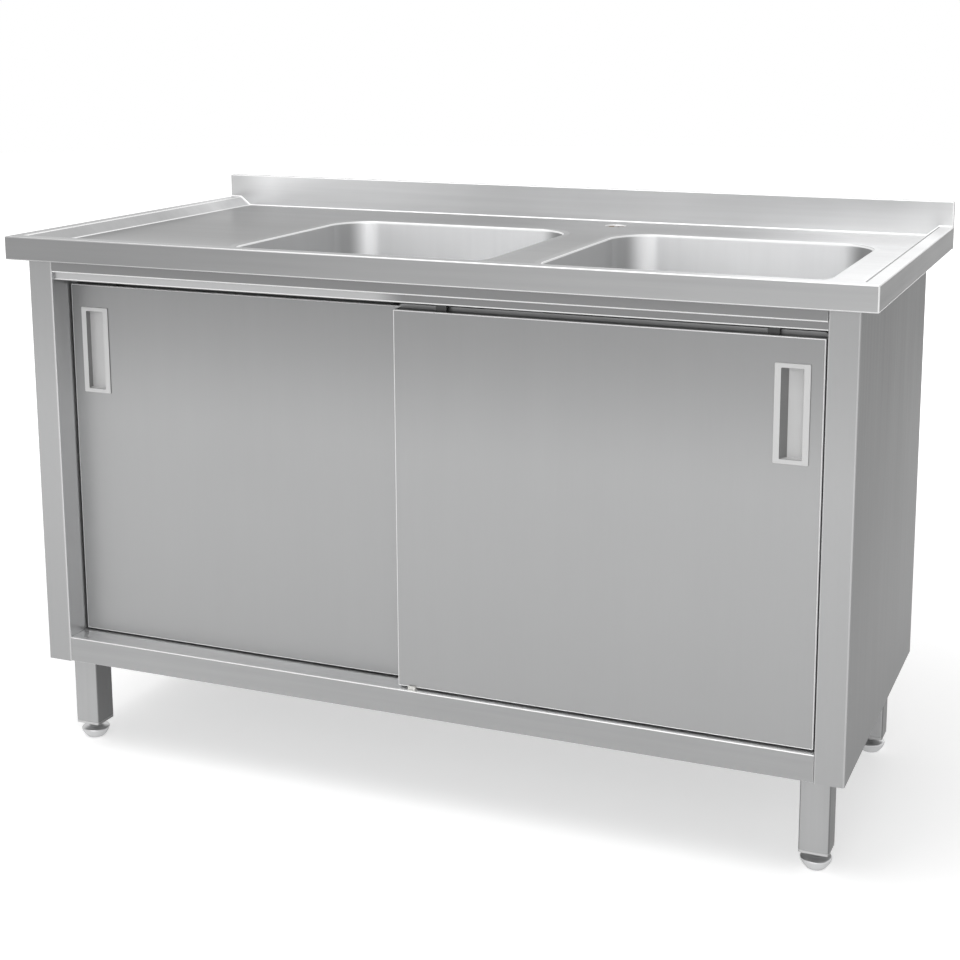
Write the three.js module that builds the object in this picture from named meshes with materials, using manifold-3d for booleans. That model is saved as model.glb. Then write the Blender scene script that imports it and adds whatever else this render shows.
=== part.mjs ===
// Kitchen sink unit in folded stainless steel: a worktop with a raised rim, a recessed drainboard on
// the left and two pressed bowls on the right, on a cupboard with two sliding doors that hang from
// rollers. Millimetres, +Z up, front towards -Y, origin on the floor under the middle of the worktop.

import * as THREE from 'three';
import { mergeVertices } from 'three/addons/utils/BufferGeometryUtils.js';
import Module from 'manifold-3d';

const wasm = await Module();
wasm.setup();

// ---- Driving dimensions ------------------------------------------------------------------------

// Shared
const SEAT_GAP = 0.3; // between two pieces that touch
const RUN_GAP = 0.4; // between a turning or sliding piece and what guides it
const BEND_RADIUS = 1.2; // inside radius of a fold
const BEND_STEPS = 3; // facets in a square fold
const CORNER_STEPS = 5; // facets in a rounded corner
const EDGE_STEPS = 2; // facets in the small corners of tubes, plugs and cups
const ROUND_STEPS = 16; // facets round a turned piece
const BORE_STEPS = 12; // facets round a small bore
const GRID = 1 / 1024; // solids that are cut or joined start on it, so shared planes are shared exactly

// Worktop
const WIDTH = 1400;
const DEPTH = 700;
const RIM_HEIGHT = 870; // raised rim above the floor
const TOP_SHEET = 1.5;
const FASCIA_HEIGHT = 38;
const FASCIA_RETURN = 14;
const RIM_FLAT = 23;
const RIM_SLOPE = 20; // run of the slope between rim and deck
const RIM_DROP = 16; // deck below the rim
const UPSTAND_HEIGHT = 43; // above the rim
const UPSTAND_THICKNESS = 12;
const UPSTAND_RETURN = 8; // along its lower edge, at the back
const WELD_LAP = 8; // where two folded runs of the worktop overlap
const WELD_INSET = 1; // from the face of a folded sheet to the edge of a plate welded into it
const BOARD_THICKNESS = 12; // stiffening boards glued under the deck
const BOARD_MARGIN = 6; // from a board to the fold or bowl beside it

// Bowls and wastes
const BOWL_WIDTH = 460; // over the welded edge
const BOWL_DEPTH = 250;
const BOWL_CORNER = 78;
const BOWL_SHEET = 1.2;
const BOWL_LIP = 12; // from the welded edge to the wall
const BOWL_LIP_RADIUS = 8;
const BOWL_DRAFT = 6; // how far a wall leans in over its height
const BOWL_FOOT_RADIUS = 38;
const BOWL_FALL = 5; // fall of the floor to the waste
const BOWL_FRONT_MARGIN = 85; // from the worktop's front to a bowl
const BOWL_BACK_MARGIN = 155; // from a bowl to the worktop's back
const BOWL_RIGHT_MARGIN = 83; // from the worktop's right side to a bowl
const BOWL_DIVIDER = 66; // deck between the bowls
const WASTE_SEAT_RADIUS = 46;
const WASTE_SEAT_DEPTH = 4;
const WASTE_HOLE_RADIUS = 29;
const WASTE_WALL = 1.5;
const WASTE_SPIGOT_LENGTH = 44;
const STRAINER_DROP = 8; // strainer below the waste's rim
const STRAINER_HOLE_RADIUS = 3.5;
const STRAINER_HOLE_STEPS = 6;
const WASTE_NUT_HEIGHT = 13;
const WASTE_NUT_RIM = 9; // width of the nut's ring
const WASTE_NUT_LUGS = 6;
const WASTE_BODY_WALL = 2.5;
const WASTE_CONE_HEIGHT = 22;
const WASTE_TAIL_RADIUS = 20;
const WASTE_TAIL_LENGTH = 45;
const TAP_HOLE_RADIUS = 17;
const TAP_HOLE_SETBACK = 75; // from the back edge to the hole's centre

// Cupboard
const SHEET = 1.2;
const SIDE_INSET = 27; // from the worktop's side to the cupboard
const FRONT_INSET = 23;
const BACK_INSET = 108; // room for pipes behind the cupboard
const CUPBOARD_BOTTOM = 152;
const POST_WIDTH = 44; // front face of each folded corner post
const POST_DEPTH = 68;
const POST_HOOK = 14;
const POST_FOOT_DEPTH = 22; // depth of a post's foot, beside the shelf's front rail
const SIDE_BACK_RETURN = 30;
const SHELF_RAIL_HEIGHT = 42; // the shelf's flanges, of which the front one shows
const SHELF_RAIL_STEP = 1; // front rail behind the posts' faces
const STIFFENER_WIDTH = 60;
const STIFFENER_HEIGHT = 30;
const STIFFENER_FLANGE = 18;
const SERVICE_GAP = 100; // between the back panel and the rear rail, for pipes
const TOP_RAIL_HEIGHT = 28;
const REAR_RAIL_HEIGHT = 40;
const REAR_RAIL_FLANGE = 26;
const BRACE_WIDTH = 40;
const BRACE_HEIGHT = 25;
const BRACE_SETBACK = 30; // from the left bowl to the brace beside it

// Legs and feet
const LEG_SIZE = 45;
const LEG_WALL = 1.5;
const LEG_CORNER = 4;
const LEG_PLATE_THICKNESS = 3;
const LEG_PLATE_LIP = 6.5;
const LEG_SIDE_SETBACK = 24.5; // from the cupboard's side to the leg
const LEG_BACK_SETBACK = 61; // from the cupboard's back to the leg
const LEG_SHELF_GAP = 1; // from the plate to the shelf's flange
const FOOT_DROP = 28.5; // leg end above the floor
const INSERT_FLANGE = 4;
const INSERT_HEIGHT = 24;
const STEM_RADIUS = 6;
const STEM_LENGTH = 34; // above the leg's end
const FOOT_RADIUS = 23.5;
const FOOT_WAIST_RADIUS = 15;
const FOOT_WIDEST = 15; // height of the widest ring
const FOOT_NECK_RADIUS = 10;
const FOOT_NECK_HEIGHT = 20;

// Doors and their running gear
const DOOR_SETBACK = 10; // front door's face behind the posts' faces
const DOOR_THICKNESS = 20;
const DOOR_PITCH = 34; // from one door to the other, front to back
const DOOR_OVERLAP = 48;
const DOOR_SIDE_GAP = 3.5;
const DOOR_FLOOR_GAP = 3;
const DOOR_TOP_LIP = 4;
const DOOR_BACK_RISE = 6; // back skin above the front skin
const DOOR_BACK_CORNER = 6;
const CHANNEL_DEPTH = 10;
const TRACK_WIDTH = 26.4;
const TRACK_HEIGHT = 39.4;
const TRACK_LIP = 7;
const DOOR_TRACK_GAP = 11; // from the doors' top edge to the tracks
const HANGER_THICKNESS = 2;
const HANGER_BASE_LENGTH = 60;
const HANGER_BASE_WIDTH = 12;
const HANGER_SETBACK = 75; // from a door's edge to the hanger
const ROLLER_RADIUS = 11;
const ROLLER_WIDTH = 6;
const ROLLER_HUB = 3; // from the hanger to the wheel
const ROLLER_HUB_RADIUS = 5;
const AXLE_RADIUS = 3;
const HANGER_EYE = 5; // hanger's plate round the axle's bore
const GUIDE_LENGTH = 12;
const GUIDE_BASE = 1.5;
const GUIDE_FIN = 3.2;
const GUIDE_FRONT_HEIGHT = 5;
const GUIDE_REAR_HEIGHT = 10;
const BUFFER_HEIGHT = 20;
const BUFFER_WIDTH = 16;

// Handle cups
const HANDLE_WIDTH = 51;
const HANDLE_HEIGHT = 142;
const HANDLE_MOUTH_WIDTH = 32;
const HANDLE_MOUTH_HEIGHT = 129;
const HANDLE_DEPTH = 15;
const HANDLE_WALL = 1.4;
const HANDLE_CORNER = 2;
const HANDLE_UNDERCUT = 3; // finger hook under the flange, on the side of the door's edge
const HANDLE_SLOPE = 8; // run of the sloped wall across from it
const HANDLE_EDGE_GAP = 19; // from the door's edge to the flange
const HANDLE_TOP_GAP = 37; // from the door's top to the flange

// ---- Places worked out from them ---------------------------------------------------------------

const left = -WIDTH / 2;
const right = WIDTH / 2;
const front = -DEPTH / 2;
const back = DEPTH / 2;
const deckZ = RIM_HEIGHT - RIM_DROP;
const fasciaZ = RIM_HEIGHT - FASCIA_HEIGHT;
const upstandZ = RIM_HEIGHT + UPSTAND_HEIGHT;
const upstandFace = back - UPSTAND_THICKNESS;
const rimWidth = RIM_FLAT + RIM_SLOPE;

const bowlHalfX = BOWL_WIDTH / 2;
const bowlHalfY = (DEPTH - BOWL_FRONT_MARGIN - BOWL_BACK_MARGIN) / 2;
const bowlY = front + BOWL_FRONT_MARGIN + bowlHalfY;
const rightBowlX = right - BOWL_RIGHT_MARGIN - bowlHalfX;
const leftBowlX = rightBowlX - BOWL_WIDTH - BOWL_DIVIDER;
const tapHoleX = rightBowlX - bowlHalfX - BOWL_DIVIDER / 2;
const tapHoleY = back - TAP_HOLE_SETBACK;
const bowlFloorZ = deckZ - BOWL_DEPTH;
const wasteSeatZ = bowlFloorZ - BOWL_FALL - WASTE_SEAT_DEPTH;

const boardTop = deckZ - TOP_SHEET - SEAT_GAP;
const boardBottom = boardTop - BOARD_THICKNESS;
const cupboardTop = boardBottom - SEAT_GAP;
const cupboardSide = right - SIDE_INSET; // outer face of the right side; the left one mirrors it
const cupboardFront = front + FRONT_INSET;
const cupboardBack = back - BACK_INSET;
const openingHalf = cupboardSide - POST_WIDTH; // half the width between the posts
const fitHalf = openingHalf - SEAT_GAP; // half the length of what is fitted between the posts
const innerHalf = cupboardSide - SHEET - SEAT_GAP;
const cornerHalf = innerHalf - BEND_RADIUS; // clear of the fold at a side panel's rear corner
const postBack = cupboardFront + POST_DEPTH;
const postFootBack = cupboardFront + POST_FOOT_DEPTH;
const shelfTop = CUPBOARD_BOTTOM + SHELF_RAIL_HEIGHT;
const shelfFront = cupboardFront + SHELF_RAIL_STEP;
const shelfBack = cupboardBack - SHEET - SEAT_GAP;
const shelfUnder = shelfTop - SHEET;

const trackTop = cupboardTop - SHEET - SEAT_GAP;
const trackBottom = trackTop - TRACK_HEIGHT;
const doorBottom = shelfTop + DOOR_FLOOR_GAP;
const doorTop = trackBottom - DOOR_TRACK_GAP;
const doorWidth = openingHalf - DOOR_SIDE_GAP + DOOR_OVERLAP / 2;
const frontDoorFace = cupboardFront + DOOR_SETBACK;
const rearDoorFace = frontDoorFace + DOOR_PITCH;
const doorX = openingHalf - DOOR_SIDE_GAP - doorWidth / 2; // closed: front door right, rear door left
const axleZ = trackBottom + SHEET + SEAT_GAP + ROLLER_RADIUS;
const rearTrackBack = rearDoorFace + DOOR_THICKNESS / 2 + TRACK_WIDTH / 2;
const topRailBottom = cupboardTop - TOP_RAIL_HEIGHT;
const rearRailFront = shelfBack - REAR_RAIL_FLANGE;

const legX = cupboardSide - LEG_SIDE_SETBACK - LEG_SIZE / 2;
const shelfNotch = postFootBack + SEAT_GAP; // where the shelf widens behind the posts' feet
const frontLegY = shelfNotch + SHEET + LEG_SHELF_GAP + LEG_PLATE_LIP + LEG_SIZE / 2;
const backLegY = cupboardBack - LEG_BACK_SETBACK - LEG_SIZE / 2;
const legPlateTop = shelfUnder - SEAT_GAP;
const legTop = legPlateTop - LEG_PLATE_THICKNESS - SEAT_GAP;
const legBottom = FOOT_DROP + INSERT_FLANGE + SEAT_GAP;

// ---- Materials ---------------------------------------------------------------------------------

const metal = (color, roughness) => new THREE.MeshStandardMaterial({ color, roughness, metalness: 1 });
const plain = (color, roughness) => new THREE.MeshStandardMaterial({ color, roughness, metalness: 0 });
const brushedSteel = metal(0xb9bbbc, 0.34);
const sheetSteel = metal(0xaeb0b2, 0.4);
const bowlSteel = metal(0xc4c6c7, 0.28);
const zincSteel = metal(0x9a9d9f, 0.5);
const greyPlastic = plain(0xd6d8d9, 0.45);
const whiteNylon = plain(0xe9e8e2, 0.5);
const darkPlastic = plain(0x3b3d3f, 0.55);
const rubber = plain(0x2a2b2c, 0.8);
const board = plain(0xd8d0c0, 0.75);

// ---- Geometry helpers --------------------------------------------------------------------------

const point = (x, y) => new THREE.Vector2(x, y);

/** Turns a closed surface the right way out when its signed volume is negative. */
function outward(geometry) {
  const index = geometry.getIndex().array;
  const at = (corner) => new THREE.Vector3().fromBufferAttribute(geometry.attributes.position, corner);
  let volume = 0;
  for (let i = 0; i < index.length; i += 3) {
    volume += at(index[i]).dot(at(index[i + 1]).cross(at(index[i + 2])));
  }
  if (volume < 0) {
    for (let i = 0; i < index.length; i += 3) [index[i], index[i + 1]] = [index[i + 1], index[i]];
  }
  return geometry;
}

/** The geometry as a closed solid for cutting and joining. */
function toSolid(geometry) {
  const bare = geometry.clone();
  bare.deleteAttribute('normal');
  bare.deleteAttribute('uv');
  const onGrid = bare.attributes.position.array.map((length) => Math.round(length / GRID) * GRID);
  bare.setAttribute('position', new THREE.BufferAttribute(onGrid, 3));
  const merged = mergeVertices(bare, GRID / 2);
  const vertProperties = merged.attributes.position.array;
  const triVerts = Uint32Array.from(merged.getIndex().array);
  return new wasm.Manifold(new wasm.Mesh({ numProp: 3, vertProperties, triVerts }));
}

function toGeometry(solid) {
  const mesh = solid.getMesh();
  const geometry = new THREE.BufferGeometry();
  geometry.setAttribute('position', new THREE.BufferAttribute(mesh.vertProperties, 3));
  geometry.setIndex(new THREE.BufferAttribute(mesh.triVerts, 1));
  geometry.computeVertexNormals();
  return geometry;
}

const joined = (...pieces) => toGeometry(pieces.map(toSolid).reduce((sum, next) => sum.add(next)));
const cut = (piece, ...tools) =>
  toGeometry(tools.map(toSolid).reduce((rest, tool) => rest.subtract(tool), toSolid(piece)));

/**
 * Closed outline of a folded sheet. `face` runs along one face as [x, y] or [x, y, inside radius],
 * where a radius of 0 is a sharp crease, and the sheet lies to the left of the run.
 */
function foldedOutline(face, thickness) {
  const near = [point(face[0][0], face[0][1])];
  const far = [];
  const side = (i) => {
    const along = point(face[i + 1][0] - face[i][0], face[i + 1][1] - face[i][1]).normalize();
    return point(-along.y, along.x);
  };
  far.push(near[0].clone().addScaledVector(side(0), thickness));
  for (let i = 1; i < face.length - 1; i++) {
    const before = side(i - 1);
    const after = side(i);
    const turn = Math.atan2(before.cross(after), before.dot(after));
    const bend = face[i][2] ?? BEND_RADIUS;
    if (bend === 0) {
      near.push(point(face[i][0], face[i][1]));
      const mitre = thickness / (1 + before.dot(after));
      far.push(near.at(-1).clone().addScaledVector(before.clone().add(after), mitre));
      continue;
    }
    const sign = Math.sign(turn); // left turns bend towards the sheet
    const nearRadius = sign > 0 ? bend + thickness : bend;
    const farRadius = sign > 0 ? bend : bend + thickness;
    const reach = (sign * nearRadius) / (1 + before.dot(after));
    const centre = point(face[i][0], face[i][1]).addScaledVector(before.clone().add(after), reach);
    const steps = Math.max(1, Math.round((Math.abs(turn) / (Math.PI / 2)) * BEND_STEPS));
    for (let k = 0; k <= steps; k++) {
      const normal = before.clone().rotateAround(point(0, 0), (turn * k) / steps);
      near.push(centre.clone().addScaledVector(normal, -sign * nearRadius));
      far.push(centre.clone().addScaledVector(normal, -sign * farRadius));
    }
  }
  const end = face.at(-1);
  near.push(point(end[0], end[1]));
  far.push(near.at(-1).clone().addScaledVector(side(face.length - 2), thickness));
  return [...near, ...far.reverse()];
}

/** Counter-clockwise rectangle with rounded corners. */
function roundedRectangle(halfX, halfY, radius, centreX = 0, centreY = 0) {
  const shape = new THREE.Shape();
  shape.absarc(centreX + halfX - radius, centreY - halfY + radius, radius, -Math.PI / 2, 0);
  shape.absarc(centreX + halfX - radius, centreY + halfY - radius, radius, 0, Math.PI / 2);
  shape.absarc(centreX - halfX + radius, centreY + halfY - radius, radius, Math.PI / 2, Math.PI);
  shape.absarc(centreX - halfX + radius, centreY - halfY + radius, radius, Math.PI, 1.5 * Math.PI);
  shape.closePath();
  return shape;
}

function rectangle(x0, y0, x1, y1) {
  return new THREE.Shape([point(x0, y0), point(x1, y0), point(x1, y1), point(x0, y1)]);
}

function circle(radius, centreX = 0, centreY = 0) {
  return new THREE.Shape().absarc(centreX, centreY, radius, 0, 2 * Math.PI);
}

/** A shape drawn in plan, standing from z0 to z1. */
function upright(shape, z0, z1, steps = CORNER_STEPS) {
  const settings = { depth: z1 - z0, bevelEnabled: false, curveSegments: steps };
  return new THREE.ExtrudeGeometry(shape, settings).translate(0, 0, z0);
}

/** A shape drawn as (y, z), running from x0 to x1. */
function alongX(shape, x0, x1, steps = CORNER_STEPS) {
  const turn = new THREE.Matrix4().set(0, 0, 1, 0, 1, 0, 0, 0, 0, 1, 0, 0, 0, 0, 0, 1);
  return upright(shape, x0, x1, steps).applyMatrix4(turn);
}

/** A shape drawn as (x, z), running from y0 to y1. */
function alongY(shape, y0, y1, steps = CORNER_STEPS) {
  const turn = new THREE.Matrix4().set(1, 0, 0, 0, 0, 0, -1, 0, 0, 1, 0, 0, 0, 0, 0, 1);
  return upright(shape, -y1, -y0, steps).applyMatrix4(turn);
}

const block = (x0, x1, y0, y1, z0, z1) => upright(rectangle(x0, y0, x1, y1), z0, z1);

/** Turned about Z from a profile of [radius, height] points. */
function turned(profile, steps = ROUND_STEPS) {
  return new THREE.LatheGeometry(profile.map(([r, z]) => point(r, z)), steps).rotateX(Math.PI / 2);
}

/** A closed profile that does not reach the axis, turned about Z. */
const turnedRing = (profile, steps) => turned([...profile, profile[0]], steps);

/** Surface through rings of equally many points: capped with `cap`, or the last joined to the first. */
function loft(rings, cap) {
  const count = rings[0].length;
  const index = [];
  const bands = cap ? rings.length - 1 : rings.length;
  for (let band = 0; band < bands; band++) {
    const a = band * count;
    const b = ((band + 1) % rings.length) * count;
    for (let k = 0; k < count; k++) {
      const next = (k + 1) % count;
      index.push(a + k, a + next, b + k, a + next, b + next, b + k);
    }
  }
  if (cap) {
    const last = (rings.length - 1) * count;
    for (const [i, j, k] of THREE.ShapeUtils.triangulateShape(cap, [])) {
      index.push(i, k, j, last + i, last + j, last + k);
    }
  }
  const geometry = new THREE.BufferGeometry().setFromPoints(rings.flat());
  geometry.setIndex(index);
  return outward(geometry);
}

/** Ring of a rounded rectangle at height z, whose points stay apart when it becomes a circle. */
function ring(halfX, halfY, radius, z, centreX = 0, steps = CORNER_STEPS) {
  const roundness = THREE.MathUtils.clamp((radius / Math.min(halfX, halfY) - 0.6) / 0.4, 0, 1);
  const points = [];
  for (let quarter = 0; quarter < 4; quarter++) {
    const signX = quarter === 0 || quarter === 3 ? 1 : -1;
    const signY = quarter < 2 ? 1 : -1;
    for (let k = 0; k <= steps; k++) {
      const spread = (k + 0.5) / (steps + 1);
      const share = THREE.MathUtils.lerp(k / steps, spread, roundness);
      const angle = ((quarter + share) * Math.PI) / 2;
      const x = centreX + signX * (halfX - radius) + radius * Math.cos(angle);
      points.push(new THREE.Vector3(x, signY * (halfY - radius) + radius * Math.sin(angle), z));
    }
  }
  return points;
}

const unit = new THREE.Group();

function add(name, geometry, material, x = 0, y = 0, z = 0) {
  const mesh = new THREE.Mesh(geometry, material);
  mesh.name = name;
  mesh.position.set(x, y, z);
  unit.add(mesh);
  return mesh;
}

// ---- Worktop -----------------------------------------------------------------------------------

/** Rim, slope and fascia, folded from one strip and mitred round the left, front and right sides. */
function rimStrip() {
  const outline = foldedOutline([
    [rimWidth + WELD_LAP, deckZ],
    [rimWidth, deckZ, 0],
    [RIM_FLAT, RIM_HEIGHT, 0],
    [0, RIM_HEIGHT],
    [0, fasciaZ],
    [FASCIA_RETURN, fasciaZ],
  ], TOP_SHEET);
  const end = upstandFace + WELD_INSET;
  const stations = [
    [left, end, 1, 0],
    [left, front, 1, 1],
    [right, front, -1, 1],
    [right, end, -1, 0],
  ];
  const rings = stations.map(([x, y, inX, inY]) =>
    outline.map((p) => new THREE.Vector3(x + p.x * inX, y + p.x * inY, p.y)));
  return loft(rings, outline);
}

function upstandStrip() {
  const outline = foldedOutline([
    [back - UPSTAND_RETURN, fasciaZ],
    [back, fasciaZ],
    [back, upstandZ],
    [upstandFace, upstandZ],
    [upstandFace, deckZ - WELD_INSET],
  ], TOP_SHEET);
  return alongX(new THREE.Shape(outline), left, right);
}

function deckPlate() {
  const edge = rimWidth + WELD_LAP / 2;
  const plate = rectangle(left + edge, front + edge, right - edge, upstandFace + WELD_INSET);
  for (const x of [leftBowlX, rightBowlX]) {
    plate.holes.push(roundedRectangle(bowlHalfX, bowlHalfY, BOWL_CORNER, x, bowlY));
  }
  const sheet = upright(plate, deckZ - TOP_SHEET, deckZ);
  return cut(sheet, tapHole());
}

function tapHole() {
  return upright(circle(TAP_HOLE_RADIUS, tapHoleX, tapHoleY), boardBottom - 1, deckZ + 1, ROUND_STEPS);
}

function makeWorktop() {
  const endCap = (x) => block(x, x + TOP_SHEET, upstandFace + WELD_INSET / 2, back - WELD_INSET,
    fasciaZ + WELD_INSET, upstandZ - WELD_INSET);
  const ends = [endCap(left), endCap(right - TOP_SHEET)];
  add('worktop', joined(rimStrip(), upstandStrip(), deckPlate(), ...ends), brushedSteel);

  const boardLeft = left + rimWidth + BOARD_MARGIN;
  const boardRight = right - rimWidth - BOARD_MARGIN;
  const boardFront = front + rimWidth + BOARD_MARGIN;
  const boardBack = upstandFace - BOARD_MARGIN;
  const bowlsLeft = leftBowlX - bowlHalfX;
  const drainRight = bowlsLeft - BOARD_MARGIN;
  const stripLeft = drainRight + SEAT_GAP;
  const drainBoard = block(boardLeft, drainRight, boardFront, boardBack, boardBottom, boardTop);
  add('drainboard_board', drainBoard, board);
  const rearFront = bowlY + bowlHalfY + BOARD_MARGIN;
  const rearBoard = block(stripLeft, boardRight, rearFront, boardBack, boardBottom, boardTop);
  add('rear_board', cut(rearBoard, tapHole()), board);
  const battenBack = bowlY - bowlHalfY - BOARD_MARGIN;
  add('front_batten', block(stripLeft, boardRight, boardFront, battenBack, boardBottom, boardTop), board);
}

// ---- Bowls and wastes --------------------------------------------------------------------------

/** Corner radius of the bowl's plan where it is `half` wide from its centre. */
function bowlCorner(half) {
  const floorHalf = bowlHalfX - BOWL_LIP - BOWL_DRAFT - BOWL_FOOT_RADIUS;
  if (half <= WASTE_SEAT_RADIUS) return half;
  if (half >= floorHalf) return BOWL_CORNER - (bowlHalfX - half);
  const share = (half - WASTE_SEAT_RADIUS) / (floorHalf - WASTE_SEAT_RADIUS);
  return THREE.MathUtils.lerp(WASTE_SEAT_RADIUS, BOWL_CORNER - (bowlHalfX - floorHalf), share);
}

/** Half the bowl's depth in plan where it is `half` wide: round at the waste, oblong above it. */
function bowlReach(half) {
  return half > WASTE_SEAT_RADIUS ? half + bowlHalfY - bowlHalfX : half;
}

/** Pressed bowl: its section from the welded edge to the waste hole, lofted round its plan. */
function bowlShell() {
  const edge = bowlHalfX - SEAT_GAP;
  const wallTop = bowlHalfX - BOWL_LIP;
  const seatWall = WASTE_SEAT_RADIUS - WASTE_SEAT_DEPTH;
  const section = foldedOutline([
    [edge, deckZ],
    [wallTop, deckZ, BOWL_LIP_RADIUS - BOWL_SHEET],
    [wallTop - BOWL_DRAFT, bowlFloorZ, BOWL_FOOT_RADIUS],
    [WASTE_SEAT_RADIUS, bowlFloorZ - BOWL_FALL],
    [seatWall, wasteSeatZ],
    [WASTE_HOLE_RADIUS, wasteSeatZ],
  ], BOWL_SHEET);
  return loft(section.map((p) => ring(p.x, bowlReach(p.x), bowlCorner(p.x), p.y)));
}

/** Strainer waste: a flange in the bowl's seat, a spigot through the hole and a drilled strainer. */
function wasteFlange() {
  const rimRadius = WASTE_SEAT_RADIUS - WASTE_SEAT_DEPTH - BEND_RADIUS - WASTE_WALL;
  const under = wasteSeatZ + SEAT_GAP;
  const outer = WASTE_HOLE_RADIUS - SEAT_GAP;
  const inner = outer - WASTE_WALL;
  const strainerTop = under + WASTE_WALL - STRAINER_DROP;
  const body = turned([
    [0, strainerTop - WASTE_WALL],
    [inner, strainerTop - WASTE_WALL],
    [inner, under - WASTE_SPIGOT_LENGTH],
    [outer, under - WASTE_SPIGOT_LENGTH],
    [outer, under],
    [rimRadius, under],
    [rimRadius, under + WASTE_WALL],
    [inner + WASTE_WALL, under + WASTE_WALL],
    [inner, under],
    [inner, strainerTop],
    [0, strainerTop],
  ]);
  const holes = [];
  for (const [radius, count] of [[0, 1], [0.4 * inner, 4], [0.75 * inner, 8]]) {
    for (let k = 0; k < count; k++) {
      const angle = (k * 2 * Math.PI) / count;
      const hole = circle(STRAINER_HOLE_RADIUS, radius * Math.cos(angle), radius * Math.sin(angle));
      holes.push(upright(hole, strainerTop - 2 * WASTE_WALL, strainerTop + WASTE_WALL, STRAINER_HOLE_STEPS));
    }
  }
  return cut(body, ...holes);
}

const wasteNutTop = wasteSeatZ - BOWL_SHEET - SEAT_GAP;
const wasteNutInner = WASTE_HOLE_RADIUS;

/** Lock nut under the bowl, with lugs for the fitter's hand. */
function wasteNut() {
  const outer = wasteNutInner + WASTE_NUT_RIM;
  const nut = circle(outer);
  nut.holes.push(circle(wasteNutInner));
  const ringSolid = upright(nut, wasteNutTop - WASTE_NUT_HEIGHT, wasteNutTop, ROUND_STEPS);
  const lugs = [];
  for (let k = 0; k < WASTE_NUT_LUGS; k++) {
    const lug = block(outer - 1, outer + 3, -3, 3, wasteNutTop - WASTE_NUT_HEIGHT, wasteNutTop);
    lugs.push(lug.rotateZ((k * 2 * Math.PI) / WASTE_NUT_LUGS));
  }
  return joined(ringSolid, ...lugs);
}

/** Waste body under the nut: a collar round the spigot, a cone and the tail that a trap fits. */
function wasteBody() {
  const collarTop = wasteNutTop - WASTE_NUT_HEIGHT - SEAT_GAP;
  const collarBottom = wasteSeatZ - WASTE_SPIGOT_LENGTH;
  const coneBottom = collarBottom - WASTE_CONE_HEIGHT;
  const tailBottom = coneBottom - WASTE_TAIL_LENGTH;
  const bore = WASTE_HOLE_RADIUS;
  return turnedRing([
    [WASTE_TAIL_RADIUS - WASTE_BODY_WALL, tailBottom],
    [WASTE_TAIL_RADIUS, tailBottom],
    [WASTE_TAIL_RADIUS, coneBottom],
    [bore + WASTE_BODY_WALL, collarBottom],
    [bore + WASTE_BODY_WALL, collarTop],
    [bore, collarTop],
    [bore, collarBottom],
    [WASTE_TAIL_RADIUS - WASTE_BODY_WALL, coneBottom],
  ]);
}

function makeBowls() {
  for (const [side, x] of [['left', leftBowlX], ['right', rightBowlX]]) {
    add(`bowl_${side}`, bowlShell(), bowlSteel, x, bowlY);
    add(`waste_flange_${side}`, wasteFlange(), brushedSteel, x, bowlY);
    add(`waste_nut_${side}`, wasteNut(), darkPlastic, x, bowlY);
    add(`waste_body_${side}`, wasteBody(), darkPlastic, x, bowlY);
  }
}

// ---- Cupboard ----------------------------------------------------------------------------------

/** Side panel folded round its front post, which is cut back at the foot for the shelf. */
function sidePanel(side) {
  const run = [
    [-cupboardSide + SIDE_BACK_RETURN, cupboardBack],
    [-cupboardSide, cupboardBack],
    [-cupboardSide, cupboardFront],
    [-openingHalf, cupboardFront],
    [-openingHalf, postBack],
    [-openingHalf - POST_HOOK, postBack],
  ];
  const face = side < 0 ? run : run.map(([x, y]) => [-x, y]).reverse();
  const panel = upright(new THREE.Shape(foldedOutline(face, SHEET)), CUPBOARD_BOTTOM, cupboardTop);
  const inner = side * (cupboardSide - 2 * SHEET - BEND_RADIUS);
  const outer = side * (openingHalf - 1);
  const notchTop = shelfTop + SEAT_GAP;
  const notch = block(Math.min(inner, outer), Math.max(inner, outer), postFootBack, postBack + 1,
    CUPBOARD_BOTTOM - 1, notchTop);
  const returnNotch = block(side < 0 ? -innerHalf : innerHalf - SIDE_BACK_RETURN,
    side < 0 ? -innerHalf + SIDE_BACK_RETURN : innerHalf, shelfBack, cupboardBack + 1,
    CUPBOARD_BOTTOM - 1, CUPBOARD_BOTTOM);
  return cut(panel, notch, returnNotch);
}

/** Plan of the shelf, drawn in by `inset`; it is narrower between the posts' feet. */
function shelfPlan(inset) {
  const narrow = fitHalf - inset;
  const wide = cornerHalf - inset;
  const start = shelfFront + inset;
  const notch = shelfNotch + inset;
  const end = shelfBack - inset;
  return new THREE.Shape([
    point(-narrow, start), point(narrow, start), point(narrow, notch), point(wide, notch),
    point(wide, end), point(-wide, end), point(-wide, notch), point(-narrow, notch),
  ]);
}

/** Shelf folded down on every side; its front flange is the rail under the doors. */
function bottomShelf() {
  const outer = upright(shelfPlan(0), CUPBOARD_BOTTOM + SHELF_RAIL_STEP, shelfTop);
  return cut(outer, upright(shelfPlan(SHEET), CUPBOARD_BOTTOM, shelfUnder));
}

/** Hat section with its flanges against the shelf. */
function shelfStiffener() {
  const top = shelfUnder - SEAT_GAP;
  const half = STIFFENER_WIDTH / 2;
  const bottom = top - STIFFENER_HEIGHT;
  const middle = (frontLegY + backLegY) / 2;
  const outline = foldedOutline([
    [middle + half, top],
    [middle + half - STIFFENER_FLANGE, top],
    [middle + half - STIFFENER_FLANGE, bottom],
    [middle - half + STIFFENER_FLANGE, bottom],
    [middle - half + STIFFENER_FLANGE, top],
    [middle - half, top],
  ], SHEET);
  const reach = cornerHalf - SHEET - SEAT_GAP;
  return alongX(new THREE.Shape(outline), -reach, reach);
}

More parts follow.
